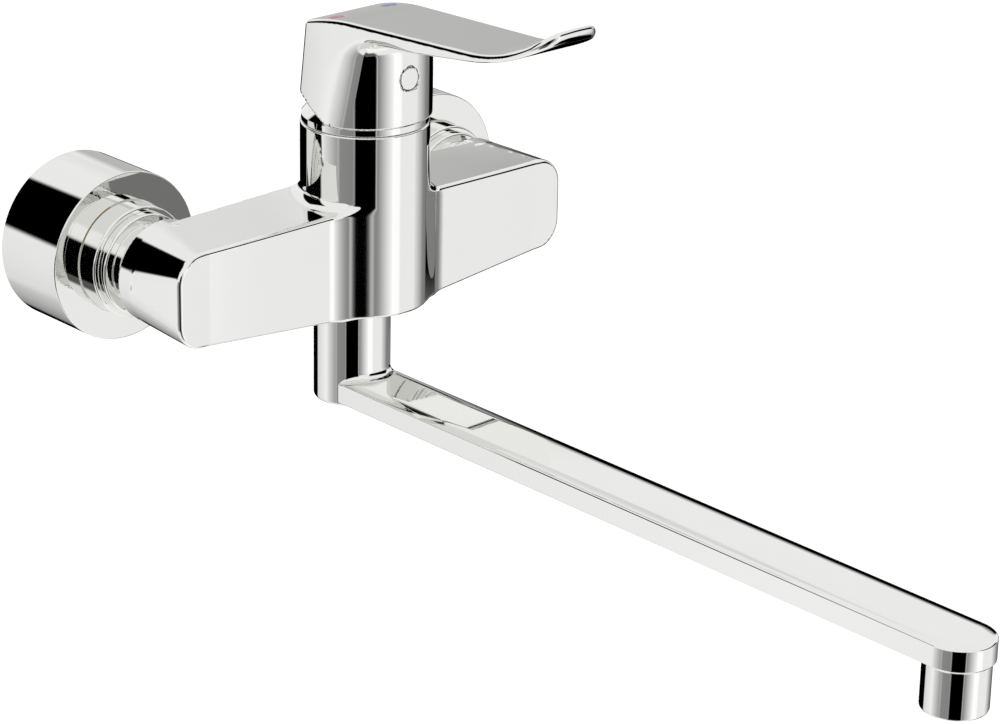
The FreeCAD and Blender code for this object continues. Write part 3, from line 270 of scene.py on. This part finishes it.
def rounded_profile(corners):
    """A closed outline of (radius, height, rounding) corners, counter-clockwise, as spans."""
    count = len(corners)
    spots = [Vector(corner[:2]) for corner in corners]
    runs = [(spots[(i + 1) % count] - spots[i]).normalized() for i in range(count)]
    trims = [corners[i][2] * abs(math.tan(runs[i - 1].angle_signed(runs[i]) / 2))
             if corners[i][2] else 0 for i in range(count)]
    spans = []
    for i in range(count):
        if trims[i]:
            turn = -runs[i - 1].angle_signed(runs[i])
            right = Vector((runs[i - 1].y, -runs[i - 1].x))
            bulge = 1 if turn > 0 else -1
            centre = spots[i] - runs[i - 1] * trims[i] - right * corners[i][2] * bulge
            first = math.degrees(math.atan2(right.y * bulge, right.x * bulge))
            spans.append(arc(centre, corners[i][2], first, first + math.degrees(turn), bulge))
        after = (i + 1) % count
        spans.append(straight(spots[i] + runs[i] * trims[i],
                              spots[after] - runs[i] * trims[after]))
    return spans


def turn_spans(skin, spans, place, segments, axis="Z"):
    """Turns spans of (radius, height) about an axis through the place, into the skin."""
    for points, normals in spans:
        rows, facings = [], []
        for k in range(segments + 1):
            angle = 2 * math.pi * (k % segments) / segments
            cos, sin = math.cos(angle), math.sin(angle)
            if axis == "Z":
                rows.append([(place[0] + r * cos, place[1] + r * sin, t) for r, t in points])
                facings.append([(n * cos, n * sin, m) for n, m in normals])
            else:
                rows.append([(place[0] + r * cos, t, place[1] + r * sin) for r, t in points])
                facings.append([(n * cos, m, n * sin) for n, m in normals])
        skin.grid(rows, facings)


def turn_on_inlet(node, x, segments, corners):
    """A piece turned about an inlet's axis, from its outline in (radius, y, rounding)."""
    skin = Skin()
    area = sum(corners[i - 1][0] * corners[i][1] - corners[i][0] * corners[i - 1][1]
               for i in range(len(corners)))
    spans = rounded_profile(corners if area > 0 else corners[::-1])
    turn_spans(skin, spans, (x, 0), segments, "Y")
    skin.make(f"{node}_turned", node)


def spaced(*stretches):
    """Grid lines along one axis: each stretch is (start, end, spacing)."""
    lines = []
    for start, end, spacing in stretches:
        count = max(1, round((end - start) / spacing))
        lines.extend(start + (end - start) * k / count for k in range(count))
    return np.array(lines + [stretches[-1][1]])


def round_min(a, b, radius):
    """Two shapes joined, with a hollow fillet between them."""
    inner = np.hypot(np.maximum(radius - a, 0), np.maximum(radius - b, 0))
    return np.maximum(np.minimum(a, b), radius) - inner


def round_max(a, b, radius):
    """What two shapes share, with a rounded edge where they meet."""
    outer = np.hypot(np.maximum(a + radius, 0), np.maximum(b + radius, 0))
    return np.minimum(np.maximum(a, b), -radius) + outer


def smooth_step(value, start, end):
    share = np.clip((value - start) / (end - start), 0, 1)
    return share * share * (3 - 2 * share)


def slope_of(field, points):
    """The gradient of a distance field at some points, by central differences."""
    columns = []
    for axis in range(3):
        shift = np.zeros(3)
        shift[axis] = SLOPE_STEP
        ahead, behind = points + shift, points - shift
        columns.append((field(*ahead.T) - field(*behind.T)) / (2 * SLOPE_STEP))
    return np.stack(columns, axis=1)


def carve(node, field, lines):
    """A piece from a distance field in millimetres: a fine mesh laid exactly on its surface."""
    # Each grid cell that the surface crosses gets one point
    inside = field(*np.meshgrid(*lines, indexing="ij")) < 0
    shape = tuple(size - 1 for size in inside.shape)
    count = np.zeros(shape, int)
    for i, j, k in np.ndindex(2, 2, 2):
        count += inside[i:i + shape[0], j:j + shape[1], k:k + shape[2]]
    crossed = (count > 0) & (count < 8)
    number = np.full(shape, -1)
    number[crossed] = np.arange(crossed.sum())
    cell = np.argwhere(crossed)
    middles = [(line[1:] + line[:-1]) / 2 for line in lines]
    points = np.stack([middles[axis][cell[:, axis]] for axis in range(3)], axis=1)
    spans = np.stack([np.diff(lines[axis])[cell[:, axis]] for axis in range(3)], axis=1)
    # The points settle onto the surface along its slope
    start = points.copy()
    for _ in range(SETTLE_ROUNDS):
        slope = slope_of(field, points)
        steep = np.maximum((slope ** 2).sum(axis=1), LEAST_SLOPE_SQUARED)
        points = points - slope * (field(*points.T) / steep)[:, None]
        points = start + np.clip(points - start, -spans * CELL_REACH, spans * CELL_REACH)

    # Each grid edge that the surface crosses gets a quad between the four cells round it
    quads = []
    for axis in range(3):
        one, two = (axis + 1) % 3, (axis + 2) % 3
        ahead = np.moveaxis(inside, (axis, one, two), (0, 1, 2))
        owner = np.moveaxis(number, (axis, one, two), (0, 1, 2))
        first, last = ahead[:-1, 1:-1, 1:-1], ahead[1:, 1:-1, 1:-1]
        ring = [owner[:, :-1, :-1], owner[:, 1:, :-1], owner[:, 1:, 1:], owner[:, :-1, 1:]]
        for change, order in ((first & ~last, (0, 1, 2, 3)), (~first & last, (3, 2, 1, 0))):
            quads.append(np.stack([ring[place][change] for place in order], axis=1))
    quads = np.concatenate(quads)
    mesh = bpy.data.meshes.new(node)
    mesh.from_pydata((points * MM).tolist(), [], quads.tolist())
    mesh.shade_smooth()
    normals = slope_of(field, points)
    normals /= np.linalg.norm(normals, axis=1)[:, None]
    mesh.normals_split_custom_set_from_vertices(normals.tolist())
    return take_place(bpy.data.objects.new(f"{node}_cast", mesh), node)


# ---------------------------------------------------------------- the cast body

PORT_RADIUS = 19.6
TOWER_TOP = 49.3
WING_BACK = -58.2
WING_DEPTH = 28.2
FACE_SLOPE = 0.1
LEAN_START = 80


def body_field(x, y, z):
    """Two wings that taper towards the ports, the tower with fillets to them, and the bores."""
    side = np.abs(x)
    # The wing's outline goes from the port's circle at the back to a rounded bar at the front
    share = np.clip((WING_BACK - y) / WING_DEPTH, 0, 1.1)
    corner_x = INLET_X + 6.8 * share
    corner_radius = PORT_RADIUS - 8.6 * share
    upper_z, lower_z = 6.664 * share, -7.7 * share
    top_start, bottom_start = 22.0 - 0.1 * share, -25.3 + 2.6 * share
    top_slope = (upper_z + corner_radius - top_start) / corner_x
    bottom_slope = (lower_z - corner_radius - bottom_start) / corner_x
    over_top = (z - top_start - top_slope * side) / np.hypot(1, top_slope)
    under_bottom = (bottom_start + bottom_slope * side - z) / np.hypot(1, bottom_slope)
    past = side - corner_x
    around = np.where(z > upper_z, np.hypot(past, z - upper_z),
                      np.where(z < lower_z, np.hypot(past, z - lower_z), past))
    outline = np.where(past > 0, around - corner_radius, np.maximum(over_top, under_bottom))
    # The face leans out towards the tower
    face_y = -87.5 - FACE_SLOPE * np.maximum(LEAN_START - side, 0)
    before_face = (face_y - y) / np.hypot(1, FACE_SLOPE)
    wings = round_max(round_max(outline, before_face, 1.5), y - WING_BACK, 0.5)

    # The tower, with a small fillet on the wings' tops and a larger one on their faces
    from_axis = np.hypot(x, y - TOWER_Y)
    tower = round_max(from_axis - TOWER_RADIUS, z - TOWER_TOP, 0.6)
    fillet = 4 + 2.7 * smooth_step(before_face - over_top, -2, 3)
    solid = round_min(wings, tower, fillet)
    # The underside of the tower rises a little towards the front
    chin = -25.4 + 5.1 * smooth_step(-84 - y, 0, 14)
    bottom = np.maximum(bottom_start + bottom_slope * side, chin)
    solid = round_max(solid, bottom - z, 1.2)

    # The ports, and the bores of the cartridge, its nut, the spout and the nipples
    from_port = np.hypot(side - INLET_X, z)
    port = round_max(round_max(from_port - PORT_RADIUS, y + 54, 0.4), -62 - y, 0.4)
    solid = np.minimum(solid, port)
    for from_middle, radius, before_floor in (
            (from_axis, 17.35, 10 - z), (from_axis, 20, 36 - z),
            (np.hypot(x, y - RISER_Y), 11.05, z + 4), (from_port, 10.2, -64 - y)):
        solid = np.maximum(solid, -np.maximum(from_middle - radius, before_floor))
    return solid


def make_body():
    wing = ((32, 80, 2), (80, 95.3, 0.7))
    left = [(-end, -start, spacing) for start, end, spacing in reversed(wing)]
    carve("mixer_body", body_field, [
        spaced(*left, (-32, 32, 0.7), *wing),
        spaced((-105, -96, 0.8), (-96, -86, 0.45), (-86, -60, 1.1), (-60, -52.9, 0.5)),
        spaced((-26.5, -17, 0.4), (-17, 15.5, 1.5), (15.5, 25, 0.4), (25, 48, 1.5),
               (48, 50.1, 0.3)),
    ])


# ---------------------------------------------------------------- the lever handle

HEAD_BACK = -66.3
BEND_Y = -153
BLADE_END = -190.2
END_RADIUS = 45


def handle_field(x, y, z):
    """The round-fronted head with flat flanks, and the long blade with its upturned tip."""
    # Half the width: widest over the pin, a long taper to the tip, narrower towards the top
    rise = (z - HEAD_FOOT) / 59.5
    along = y + 84
    behind = np.maximum(along, 0)
    low = 24.7 + 0.0219 * along - 0.0105 * behind ** 2
    high = 14.5 + 0.0208 * along + 0.00265 * behind ** 2
    flank = (np.abs(x) - low - (high - low) * rise) / 1.015
    plan = round_max(flank, y - HEAD_BACK, 3)
    end = np.hypot(x, np.minimum(y - BLADE_END - END_RADIUS, 0)) - END_RADIUS
    plan = round_max(plan, end, 6)

    # The top: crowned over the head, straight along the waist, bent up at the tip
    behind = np.maximum(y + 92, 0)
    crown = 91.35 - 0.0456 * (y + 92) - 0.00527 * behind ** 2
    crown_slope = 0.0456 + 0.01054 * behind
    over_top = np.where(y < BEND_Y, 60 - np.hypot(y + 150.267, z - 154.068),
                        (z - crown) / np.hypot(1, crown_slope))
    # The blade's underside: straight, and bent up with the top
    under_slope = 0.113
    under = np.where(y < BEND_Y, np.hypot(y + 143.404, z - 175.78) - 85.45,
                     (90.87 + under_slope * (BEND_Y - y) - z) / np.hypot(1, under_slope))
    head = np.maximum(np.hypot(x, np.minimum(y - TOWER_Y, 0)) - HEAD_RADIUS, y + 60)
    edge = 0.8 + 2.9 * smooth_step(y, -128, -108) + 1.2 * smooth_step(-165 - y, 0, 15)
    solid = round_max(round_min(under, head, 5.5), plan, edge)
    edge = 1.3 + 0.6 * smooth_step(-165 - y, 0, 20)
    solid = round_max(solid, over_top, edge)

    # Below: the flat rim, the heel that clears the body, and the ball seat over the dome
    solid = round_max(solid, HEAD_FOOT - z, 0.4)
    heel_slope = 0.52
    heel = (HEAD_FOOT + heel_slope * (y + 84.3) - z) / np.hypot(1, heel_slope)
    solid = round_max(solid, heel, 0.4)
    from_ball = np.sqrt(x ** 2 + (y - TOWER_Y) ** 2 + (z - BALL_HEIGHT) ** 2)
    solid = np.maximum(solid, 30.7 - from_ball)
    # The seat of the screw's cap, and the wells of the two marks
    seat = np.maximum(np.hypot(x, z - SCREW_HEIGHT) - 4.45, y + 103.1)
    solid = round_max(solid, -seat, 0.15)
    for mark_x in (-12.5, 12.5):
        well = np.maximum(np.hypot(x - mark_x, y + 78.5) - 2.95, 87 - z)
        solid = np.maximum(solid, -well)
    return solid


def make_handle():
    carve("handle", handle_field, [
        spaced((-25.5, -8, 0.5), (-8, 8, 0.8), (8, 25.5, 0.5)),
        spaced((-192, -165, 0.5), (-165, -108, 1.2), (-108, -98, 0.5), (-98, -65.4, 0.7)),
        spaced((51.8, 58, 0.5), (58, 80, 1.0), (80, 97, 0.4), (97, 110.5, 0.5)),
    ])


# ---------------------------------------------------------------- turned and drawn pieces

def make_unions():
    """The escutcheons, the union nuts and the stepped collars, turned about the inlets."""
    for name, x in (("left", -INLET_X), ("right", INLET_X)):
        turn_on_inlet(f"escutcheon_{name}", x, 240, [
            (30.8, 0, 0), (32, 0, 0.2), (32, -32.6, 0.5), (21.4, -32.6, 0.2),
            (21.4, -31.4, 0.2), (30.8, -31.4, 0.5),
        ])
        turn_on_inlet(f"union_nut_{name}", x, 200, [
            (13.2, -20, 0), (21.1, -20, 0), (21.1, -41.8, 0.8), (10.8, -41.8, 0),
            (10.8, -36.9, 0), (13.2, -36.9, 0),
        ])
        turn_on_inlet(f"inlet_collar_{name}", x, 200, [
            (10.6, -41.9, 0), (19.2, -41.9, 0.3), (19.2, -45.6, 0.8), (15.5, -45.6, 0.5),
            (15.5, -54, 0), (10.6, -54, 0),
        ])


def make_dome():
    """The dome ring: a ball face under the handle, and its skirt in the tower."""
    outer_ball, inner_ball, ball_steps = 30.26, 28.86, 12
    rim, mouth, mouth_inside, skirt_inside, skirt = 23.55, 17, 16.3, 18.4, 19.9
    foot, step, rim_round = 43.1, 49.4, 0.4

    def on_ball(radius, ball):
        return radius, BALL_HEIGHT + math.sqrt(ball ** 2 - radius ** 2)

    def ball_arc(first, last, ball, *more):
        turns = [math.degrees(math.acos(radius / ball)) for radius in (first, last)]
        return arc((0, BALL_HEIGHT), ball, *turns, *more)

    skin = Skin()
    turn_spans(skin, [
        straight((skirt_inside, foot), (skirt, foot)), straight((skirt, foot), (skirt, step)),
        straight((skirt, step), (rim - rim_round, step)),
        arc((rim - rim_round, step + rim_round), rim_round, -90, 0),
        straight((rim, step + rim_round), on_ball(rim, outer_ball)),
        ball_arc(rim, mouth, outer_ball, 1, ball_steps),
        straight(on_ball(mouth, outer_ball), on_ball(mouth_inside, inner_ball)),
        ball_arc(mouth_inside, skirt_inside, inner_ball, -1),
        straight(on_ball(skirt_inside, inner_ball), (skirt_inside, foot)),
    ], (0, TOWER_Y), 240)
    skin.make("dome_cap_turned", "dome_cap")


def make_screw_cap():
    """The small cap over the grub screw, curved with the handle's round front."""
    skin = Skin()
    radius, edge, floor = 4.15, 0.3, TOWER_Y - 23.1
    turns, rings = 96, 6
    rows, facings = [], []
    for k in range(turns + 1):
        angle = 2 * math.pi * (k % turns) / turns
        cos, sin = math.cos(angle), math.sin(angle)
        row, facing = [], []
        for step in range(rings + 1 + ROUND_STEPS):
            tilt = max(0, step - rings) * math.pi / 2 / ROUND_STEPS
            reach = (radius - edge) * min(step, rings) / rings + edge * math.sin(tilt)
            x = reach * cos
            ahead = math.sqrt(HEAD_RADIUS ** 2 - x ** 2)
            row.append((x, TOWER_Y - ahead + edge * (1 - math.cos(tilt)),
                        SCREW_HEIGHT + reach * sin))
            facing.append((x / HEAD_RADIUS * math.cos(tilt) + cos * math.sin(tilt),
                           -ahead / HEAD_RADIUS * math.cos(tilt), sin * math.sin(tilt)))
        rows.append(row)
        facings.append(facing)
    skin.grid(rows, facings)
    side = [[row[-1], (row[-1][0], floor, row[-1][2])] for row in rows]
    skin.grid(side, [[(facing[-1][0], 0, facing[-1][2])] * 2 for facing in facings])
    skin.grid([[row[1], (0, floor, SCREW_HEIGHT)] for row in side],
              [[(0, 1, 0)] * 2] * (turns + 1))
    skin.make("screw_cap_pressed", "screw_cap")


ARM_HALF_WIDTH = 12.7
ARM_TOP = -51.0
ARM_BOTTOM = -60
SHOULDER_WIDTH = 6
SHOULDER_DROP = 1.6


def arm_top_at(side):
    """The height of the arm's top: flat in the middle, falling over its shoulders."""
    past = max(0, side - ARM_HALF_WIDTH + SHOULDER_WIDTH) / SHOULDER_WIDTH
    return ARM_TOP - SHOULDER_DROP * (1 - math.sqrt(max(0, 1 - past ** 2)))


def add_root_fillet(skin):
    """The fillet where the round riser runs out onto the arm's top, dying out at its sides."""
    widest, half_steps = 3.2, 20
    rows, facings = [], []
    for k in range(2 * half_steps + 1):
        row, facing = [], []
        share = k / half_steps - 1
        fillet = widest * (1 - share ** 4)
        turn = share * math.asin(ARM_HALF_WIDTH / RISER_RADIUS)
        sin, cos = math.sin(turn), math.cos(turn)
        for step in range(ROUND_STEPS + 1):
            tilt = math.pi / 2 * step / ROUND_STEPS
            reach = RISER_RADIUS + fillet * (1 - math.cos(tilt))
            x = reach * sin
            row.append((x, RISER_Y - reach * cos,
                        arm_top_at(abs(x)) + fillet * (1 - math.sin(tilt))))
            facing.append((sin * math.cos(tilt), -cos * math.cos(tilt), math.sin(tilt)))
        rows.append(row)
        facings.append(facing)
    skin.grid(rows, facings)


def make_riser():
    """The spout's riser, closed below, with its spigot and the grooves of its rings."""
    bore, spigot, groove, spigot_top, shoulder = 7.5, 11, 9.3, -9, -25.6
    floor, foot = -58.4, -61.3
    grooves = []
    for middle, width in ((-12, 2), (-15.6, 2), (-20.5, 3.6)):
        top, bottom = middle + width / 2, middle - width / 2
        grooves += [(spigot, top, 0), (groove, top, 0),
                    (groove, bottom, 0), (spigot, bottom, 0)]
    corners = [(bore, floor, 0), (bore, spigot_top, 0), (spigot, spigot_top, 0.3), *grooves,
               (spigot, shoulder, 0), (RISER_RADIUS, shoulder, 0.3), (RISER_RADIUS, foot, 1.2),
               (0, foot, 0), (0, floor, 0)]
    skin = Skin()
    turn_spans(skin, rounded_profile(corners[::-1]), (0, RISER_Y), 400)
    add_root_fillet(skin)
    skin.make("spout_riser_turned", "spout_riser")


def make_arm():
    """The long flat arm: rounded along its top, with a round end over the outlet's nozzle."""
    half, bottom, edge = ARM_HALF_WIDTH, ARM_BOTTOM, 0.5
    nozzle, mouth, foot, lip, root_round = 11.5, 10, -77.9, 0.8, 0.9
    nozzle_floor = -64.9
    flat_steps, shoulder_steps, end_steps, arm_steps, under_steps = 6, 18, 96, 8, 24
    inner = half - SHOULDER_WIDTH
    flat_top = [(inner * k / flat_steps, ARM_TOP) for k in range(flat_steps + 1)]
    shoulder, facings = [], []
    for k in range(shoulder_steps + 1):
        turn = math.pi * k / (2 * shoulder_steps)
        sin, cos = math.sin(turn), math.cos(turn)
        shoulder.append((inner + SHOULDER_WIDTH * sin, ARM_TOP - SHOULDER_DROP * (1 - cos)))
        facing = Vector((sin / SHOULDER_WIDTH, cos / SHOULDER_DROP)).normalized()
        facings.append((facing.x, facing.y))
    side_top = ARM_TOP - SHOULDER_DROP
    spans = [(flat_top, [(0, 1)] * len(flat_top)), (shoulder, facings),
             ([(half, side_top), (half, bottom + edge)], [(1, 0)] * 2),
             arc((half - edge, bottom + edge), edge, 0, -90)]

    def root(reach):
        return RISER_Y - math.sqrt(RISER_RADIUS ** 2 - reach ** 2)

    def end_turn(points, normals):
        rows, facings = [], []
        for k in range(end_steps + 1):
            angle = math.pi * k / end_steps
            cos, sin = math.cos(angle), -math.sin(angle)
            rows.append([(d * cos, OUTLET_Y + d * sin, z) for d, z in points])
            facings.append([(n * cos, n * sin, m) for n, m in normals])
        skin.grid(rows, facings)

    skin = Skin()
    under = [nozzle * math.sin(math.pi / 2 * k / under_steps) for k in range(under_steps + 1)]
    under.append(half - edge)
    for side in (-1, 1):
        for points, normals in spans:
            skin.grid([[(side * d, root(d) * (1 - k / arm_steps) + OUTLET_Y * k / arm_steps, z)
                        for k in range(arm_steps + 1)] for d, z in points],
                      [[(side * n, 0, m)] * (arm_steps + 1) for n, m in normals])
        skin.grid([[(side * d, root(d), bottom),
                    (side * d, OUTLET_Y + math.sqrt(max(0, nozzle ** 2 - d ** 2)), bottom)]
                   for d in under], [[(0, 0, -1)] * 2] * len(under))
        # The face that meets the riser
        shape = [(d, z, bottom) for points, _ in spans[:2] for d, z in points]
        shape.append((half, side_top, bottom + edge))
        skin.grid([[(side * d, root(d), high), (side * d, root(d), low)]
                   for d, high, low in shape],
                  [[(-side * d, RISER_Y - root(d), 0)] * 2 for d, high, low in shape])
    for points, normals in spans:
        end_turn(points, normals)
    end_turn([(nozzle, bottom), (half - edge, bottom)], [(0, -1)] * 2)
    turn_spans(skin, [
        arc((nozzle + root_round, bottom - root_round), root_round, 90, 180, -1),
        ([(nozzle, bottom - root_round), (nozzle, foot + lip)], [(1, 0)] * 2),
        arc((nozzle - lip, foot + lip), lip, 0, -90),
        ([(nozzle - lip, foot), (mouth, foot)], [(0, -1)] * 2),
        ([(mouth, foot), (mouth, nozzle_floor)], [(-1, 0)] * 2),
        ([(mouth, nozzle_floor), (0, nozzle_floor)], [(0, -1)] * 2),
    ], (0, OUTLET_Y), 320)
    return skin.make("spout_arm_drawn", "spout_arm")


make_body()
make_handle()
make_unions()
make_dome()
make_screw_cap()
make_riser()
# The faces above the arm mirror the studio's screens and no image of the arm or its outlet
for piece in (make_arm(), smooth_copy("aerator_housing"), nodes["aerator_insert"],
              nodes["aerator_seal"]):
    piece.visible_glossy = False


# ---------------------------------------------------------------- stage, light and camera

CAMERA_AZIMUTH = math.radians(-43.099)
CAMERA_ELEVATION = math.radians(21.504)
CAMERA_ROLL = math.radians(1.127)
CAMERA_PLACE = Vector((-0.81579, -1.02660, 0.44633))
FOCAL_PIXELS = 3567.9
IMAGE_WIDTH = 1000
SENSOR_MM = 36
FAR_CLIP = 50
FLOOR_HEIGHT = -1.25
FLOOR_HALF_SIZE = 12
FLOOR_GLOW = 0.24
STAGE_CENTRE = Vector((0.0, -0.15, 0.0))
TENT_RADIUS = 2.0
TENT_FOOT = -1.2
TENT_LOWEST, TENT_HIGHEST = -70, 78
TENT_STEP = 1.0
PLAIN_WHITE = 1.0
SECOND_REFLECTION, THIRD_REFLECTION = 2, 3


def camera_axes():
    back = Vector((math.sin(CAMERA_AZIMUTH) * math.cos(CAMERA_ELEVATION),
                   -math.cos(CAMERA_AZIMUTH) * math.cos(CAMERA_ELEVATION),
                   math.sin(CAMERA_ELEVATION)))
    right = Vector((math.cos(CAMERA_AZIMUTH), math.sin(CAMERA_AZIMUTH), 0))
    up = back.cross(right)
    turned_right = math.cos(CAMERA_ROLL) * right + math.sin(CAMERA_ROLL) * up
    turned_up = -math.sin(CAMERA_ROLL) * right + math.cos(CAMERA_ROLL) * up
    return turned_right, turned_up, back


def make_camera():
    data = bpy.data.cameras.new("camera")
    data.sensor_width = SENSOR_MM
    data.sensor_fit = "HORIZONTAL"
    data.lens = FOCAL_PIXELS * SENSOR_MM / IMAGE_WIDTH
    data.clip_end = FAR_CLIP
    camera = bpy.data.objects.new("camera", data)
    scene.collection.objects.link(camera)
    right, up, back = camera_axes()
    turn = Matrix((right, up, back)).transposed().to_4x4()
    camera.matrix_world = Matrix.Translation(CAMERA_PLACE) @ turn
    scene.camera = camera


def floor_material():
    """A pale painted floor, lit a little from itself so that it meets the white background."""
    material, tree, output = new_material("pale_floor")
    shader = add_node(tree, "ShaderNodeBsdfPrincipled", Base_Color=linear("#F4F4F2"),
                      Roughness=0.9, Specular_IOR_Level=0.0,
                      Emission_Color=linear("#FFFFFF"), Emission_Strength=FLOOR_GLOW)
    tree.links.new(shader.outputs["BSDF"], output.inputs["Surface"])
    return material


def screen_material():
    """A studio screen: its tone comes from the mesh, from black flag to bright softbox.

    A reflection seen in another reflection gets the second tone, and from the third on it is
    white, so that the chrome's flat tops stay clean."""
    material, tree, output = new_material("studio_screen")
    tone = add_node(tree, "ShaderNodeAttribute", {"attribute_name": "tone"})
    second_tone = add_node(tree, "ShaderNodeAttribute", {"attribute_name": "second_tone"})
    depth = add_node(tree, "ShaderNodeLightPath").outputs["Glossy Depth"]
    is_second, is_third = [add_node(tree, "ShaderNodeMath", {"operation": "GREATER_THAN"},
                                    Value=depth) for _ in range(2)]
    is_second.inputs[1].default_value = SECOND_REFLECTION - 0.5
    is_third.inputs[1].default_value = THIRD_REFLECTION - 0.5
    chosen = add_node(tree, "ShaderNodeMix", {"data_type": "FLOAT"})
    for index, source in ((0, is_second.outputs[0]), (2, tone.outputs["Fac"]),
                          (3, second_tone.outputs["Fac"])):
        tree.links.new(source, chosen.inputs[index])
    brighter = add_node(tree, "ShaderNodeMath", {"operation": "MAXIMUM"},
                        Value=chosen.outputs[0])
    tree.links.new(is_third.outputs[0], brighter.inputs[1])
    glow = add_node(tree, "ShaderNodeEmission", Strength=brighter.outputs[0])
    tree.links.new(glow.outputs["Emission"], output.inputs["Surface"])
    return material


def direction(azimuth, elevation):
    """A unit vector: azimuth 0 points into the room (-Y), 90 to +X; elevation is from level."""
    a, e = math.radians(azimuth), math.radians(elevation)
    return Vector((math.sin(a) * math.cos(e), -math.cos(a) * math.cos(e), math.sin(e)))


def across(value, first, last, soft):
    """How far a value lies within a range: 0 outside, 1 inside, soft at both ends."""
    inside = np.minimum(value - first, last - value)
    return smooth_step(inside, -soft, soft)


def painted(screens, across_tent, up_tent):
    """The tone of each point of the tent: plain white where no screen covers it."""
    tone = np.full_like(across_tent, PLAIN_WHITE)
    for _, (first, last), (low, high), tones, soft in screens:
        middle = (first + last) / 2
        turned = (across_tent - middle + 180) % 360 - 180 + middle
        cover = across(turned, first, last, soft) * across(up_tent, low, high, soft)
        share = np.clip((turned - first) / (last - first), 0, 1)
        tone += cover * (tones[0] + (tones[1] - tones[0]) * share - tone)
    return tone


def make_tent(screens, second_screens):
    """A tent of studio screens round the object, which shows only in reflections.

    Each screen has a name, a range of azimuths and of elevations in degrees, its tone at its
    first and at its last azimuth, and how softly its edges fade. The second screens come on
    top of the others in reflections of reflections."""
    azimuths = np.arange(-180, 180 + TENT_STEP, TENT_STEP)
    elevations = np.arange(TENT_LOWEST, TENT_HIGHEST + TENT_STEP, TENT_STEP)
    across_tent, up_tent = np.meshgrid(azimuths, elevations)
    points = []
    for azimuth, elevation in zip(across_tent.ravel(), up_tent.ravel()):
        way = direction(azimuth, elevation)
        reach = min(TENT_RADIUS, TENT_FOOT / way.z) if way.z < 0 else TENT_RADIUS
        points.append(STAGE_CENTRE + way * reach)
    width = len(azimuths)
    quads = []
    for row in range(len(elevations) - 1):
        for corner in range(row * width, (row + 1) * width - 1):
            quads.append((corner, corner + 1, corner + width + 1, corner + width))
    mesh = bpy.data.meshes.new("studio_tent")
    mesh.from_pydata(points, [], quads)
    for name, layers in (("tone", screens), ("second_tone", screens + second_screens)):
        tones = painted(layers, across_tent, up_tent)
        mesh.attributes.new(name, "FLOAT", "POINT").data.foreach_set("value", tones.ravel())
    tent = bpy.data.objects.new("studio_tent", mesh)
    scene.collection.objects.link(tent)
    set_material(tent, screen_material())
    tent.visible_camera = False
    tent.visible_diffuse = False
    tent.visible_shadow = False


def make_world():
    world = bpy.data.worlds.new("studio")
    scene.world = world
    world.use_nodes = True
    tree = world.node_tree
    tree.nodes.clear()
    output = tree.nodes.new("ShaderNodeOutputWorld")
    background = add_node(tree, "ShaderNodeBackground", Color=linear("#FFFFFF"), Strength=1.0)
    tree.links.new(background.outputs["Background"], output.inputs["Surface"])


def make_floor():
    mesh = bpy.data.meshes.new("floor")
    half = FLOOR_HALF_SIZE
    corners = [(-half, -half), (half, -half), (half, half), (-half, half)]
    mesh.from_pydata([(x, y, FLOOR_HEIGHT) for x, y in corners], [], [(0, 1, 2, 3)])
    floor = bpy.data.objects.new("floor", mesh)
    scene.collection.objects.link(floor)
    set_material(floor, floor_material())


make_camera()
make_world()
make_floor()
make_tent([
    # Below the horizon, from the left of the camera round to the right and behind
    ("low_back_flag", (80, 156), (-50, -33), (0.0, 0.0), 3),
    ("low_front_flag", (47, 90), (-60, -33), (0.0, 0.0), 2),
    ("low_left_fade", (-208, -150), (-52, -33), (0.15, 0.85), 3),
    ("low_front_grey", (-64, -18), (-60, -32), (0.12, 0.12), 4),
    ("left_softbox", (-166, -112), (-34, 1), (0.8, 1.15), 4),
    ("left_fade", (-123, -90), (-36, 0), (0.95, 0.33), 5),
    ("left_grey", (-90, -61), (-36, 0), (0.3, 0.26), 3),
    ("camera_flag", (-61, -22), (-34, 14), (0.0, 0.0), 2),
    ("right_fade", (-21, 6), (-36, 0), (0.22, 1.05), 1.5),
    ("right_softbox", (8, 25), (-36, 0), (1.25, 1.2), 3),
    ("right_screen", (26, 58), (-36, 0), (1.0, 1.0), 2),
    ("right_dim", (60, 86), (-36, 0), (0.9, 0.3), 3),
    ("right_grey", (84, 100), (-36, 0), (0.28, 0.22), 2),
    ("back_flag", (99, 194), (-34, -6), (0.0, 0.0), 2),
    ("right_low_grey", (98, 124), (-28, -21), (0.27, 0.24), 0.5),
    # The top edges of the faces and rims catch this flag as a thin dark line
    ("right_upper_flag", (12, 78), (-2, 26), (0.0, 0.0), 3),
    # Above the horizon behind the object
    ("back_left_flag", (-168, -124), (3, 41), (0.0, 0.0), 2),
    ("back_right_screen", (108, 147), (-7, 21), (0.38, 0.6), 3),
    ("back_low_card", (108, 147), (-7, 14), (0.5, 0.54), 3),
    ("back_upper_screen", (136, 162), (21, 45), (0.78, 1.0), 3),
    ("back_edge_flag", (106, 134), (-7, 16), (0.0, 0.0), 2),
    ("arm_screen", (118, 143), (21.2, 30), (1.0, 1.0), 1),
], [
    # A grey screen behind, which the body's back shows to the escutcheons
    ("back_grey", (139.5, 152), (-30, -11), (0.24, 0.24), 1.5),
    # White gaps, which the body's front and underside show to the arm's top
    ("arm_front_gap", (-60, 150), (17, 32), (1.2, 1.2), 2),
    ("arm_low_gap", (127, 138.5), (-31, -17), (1.2, 1.2), 1.5),
])

scene.view_settings.view_transform = "Standard"
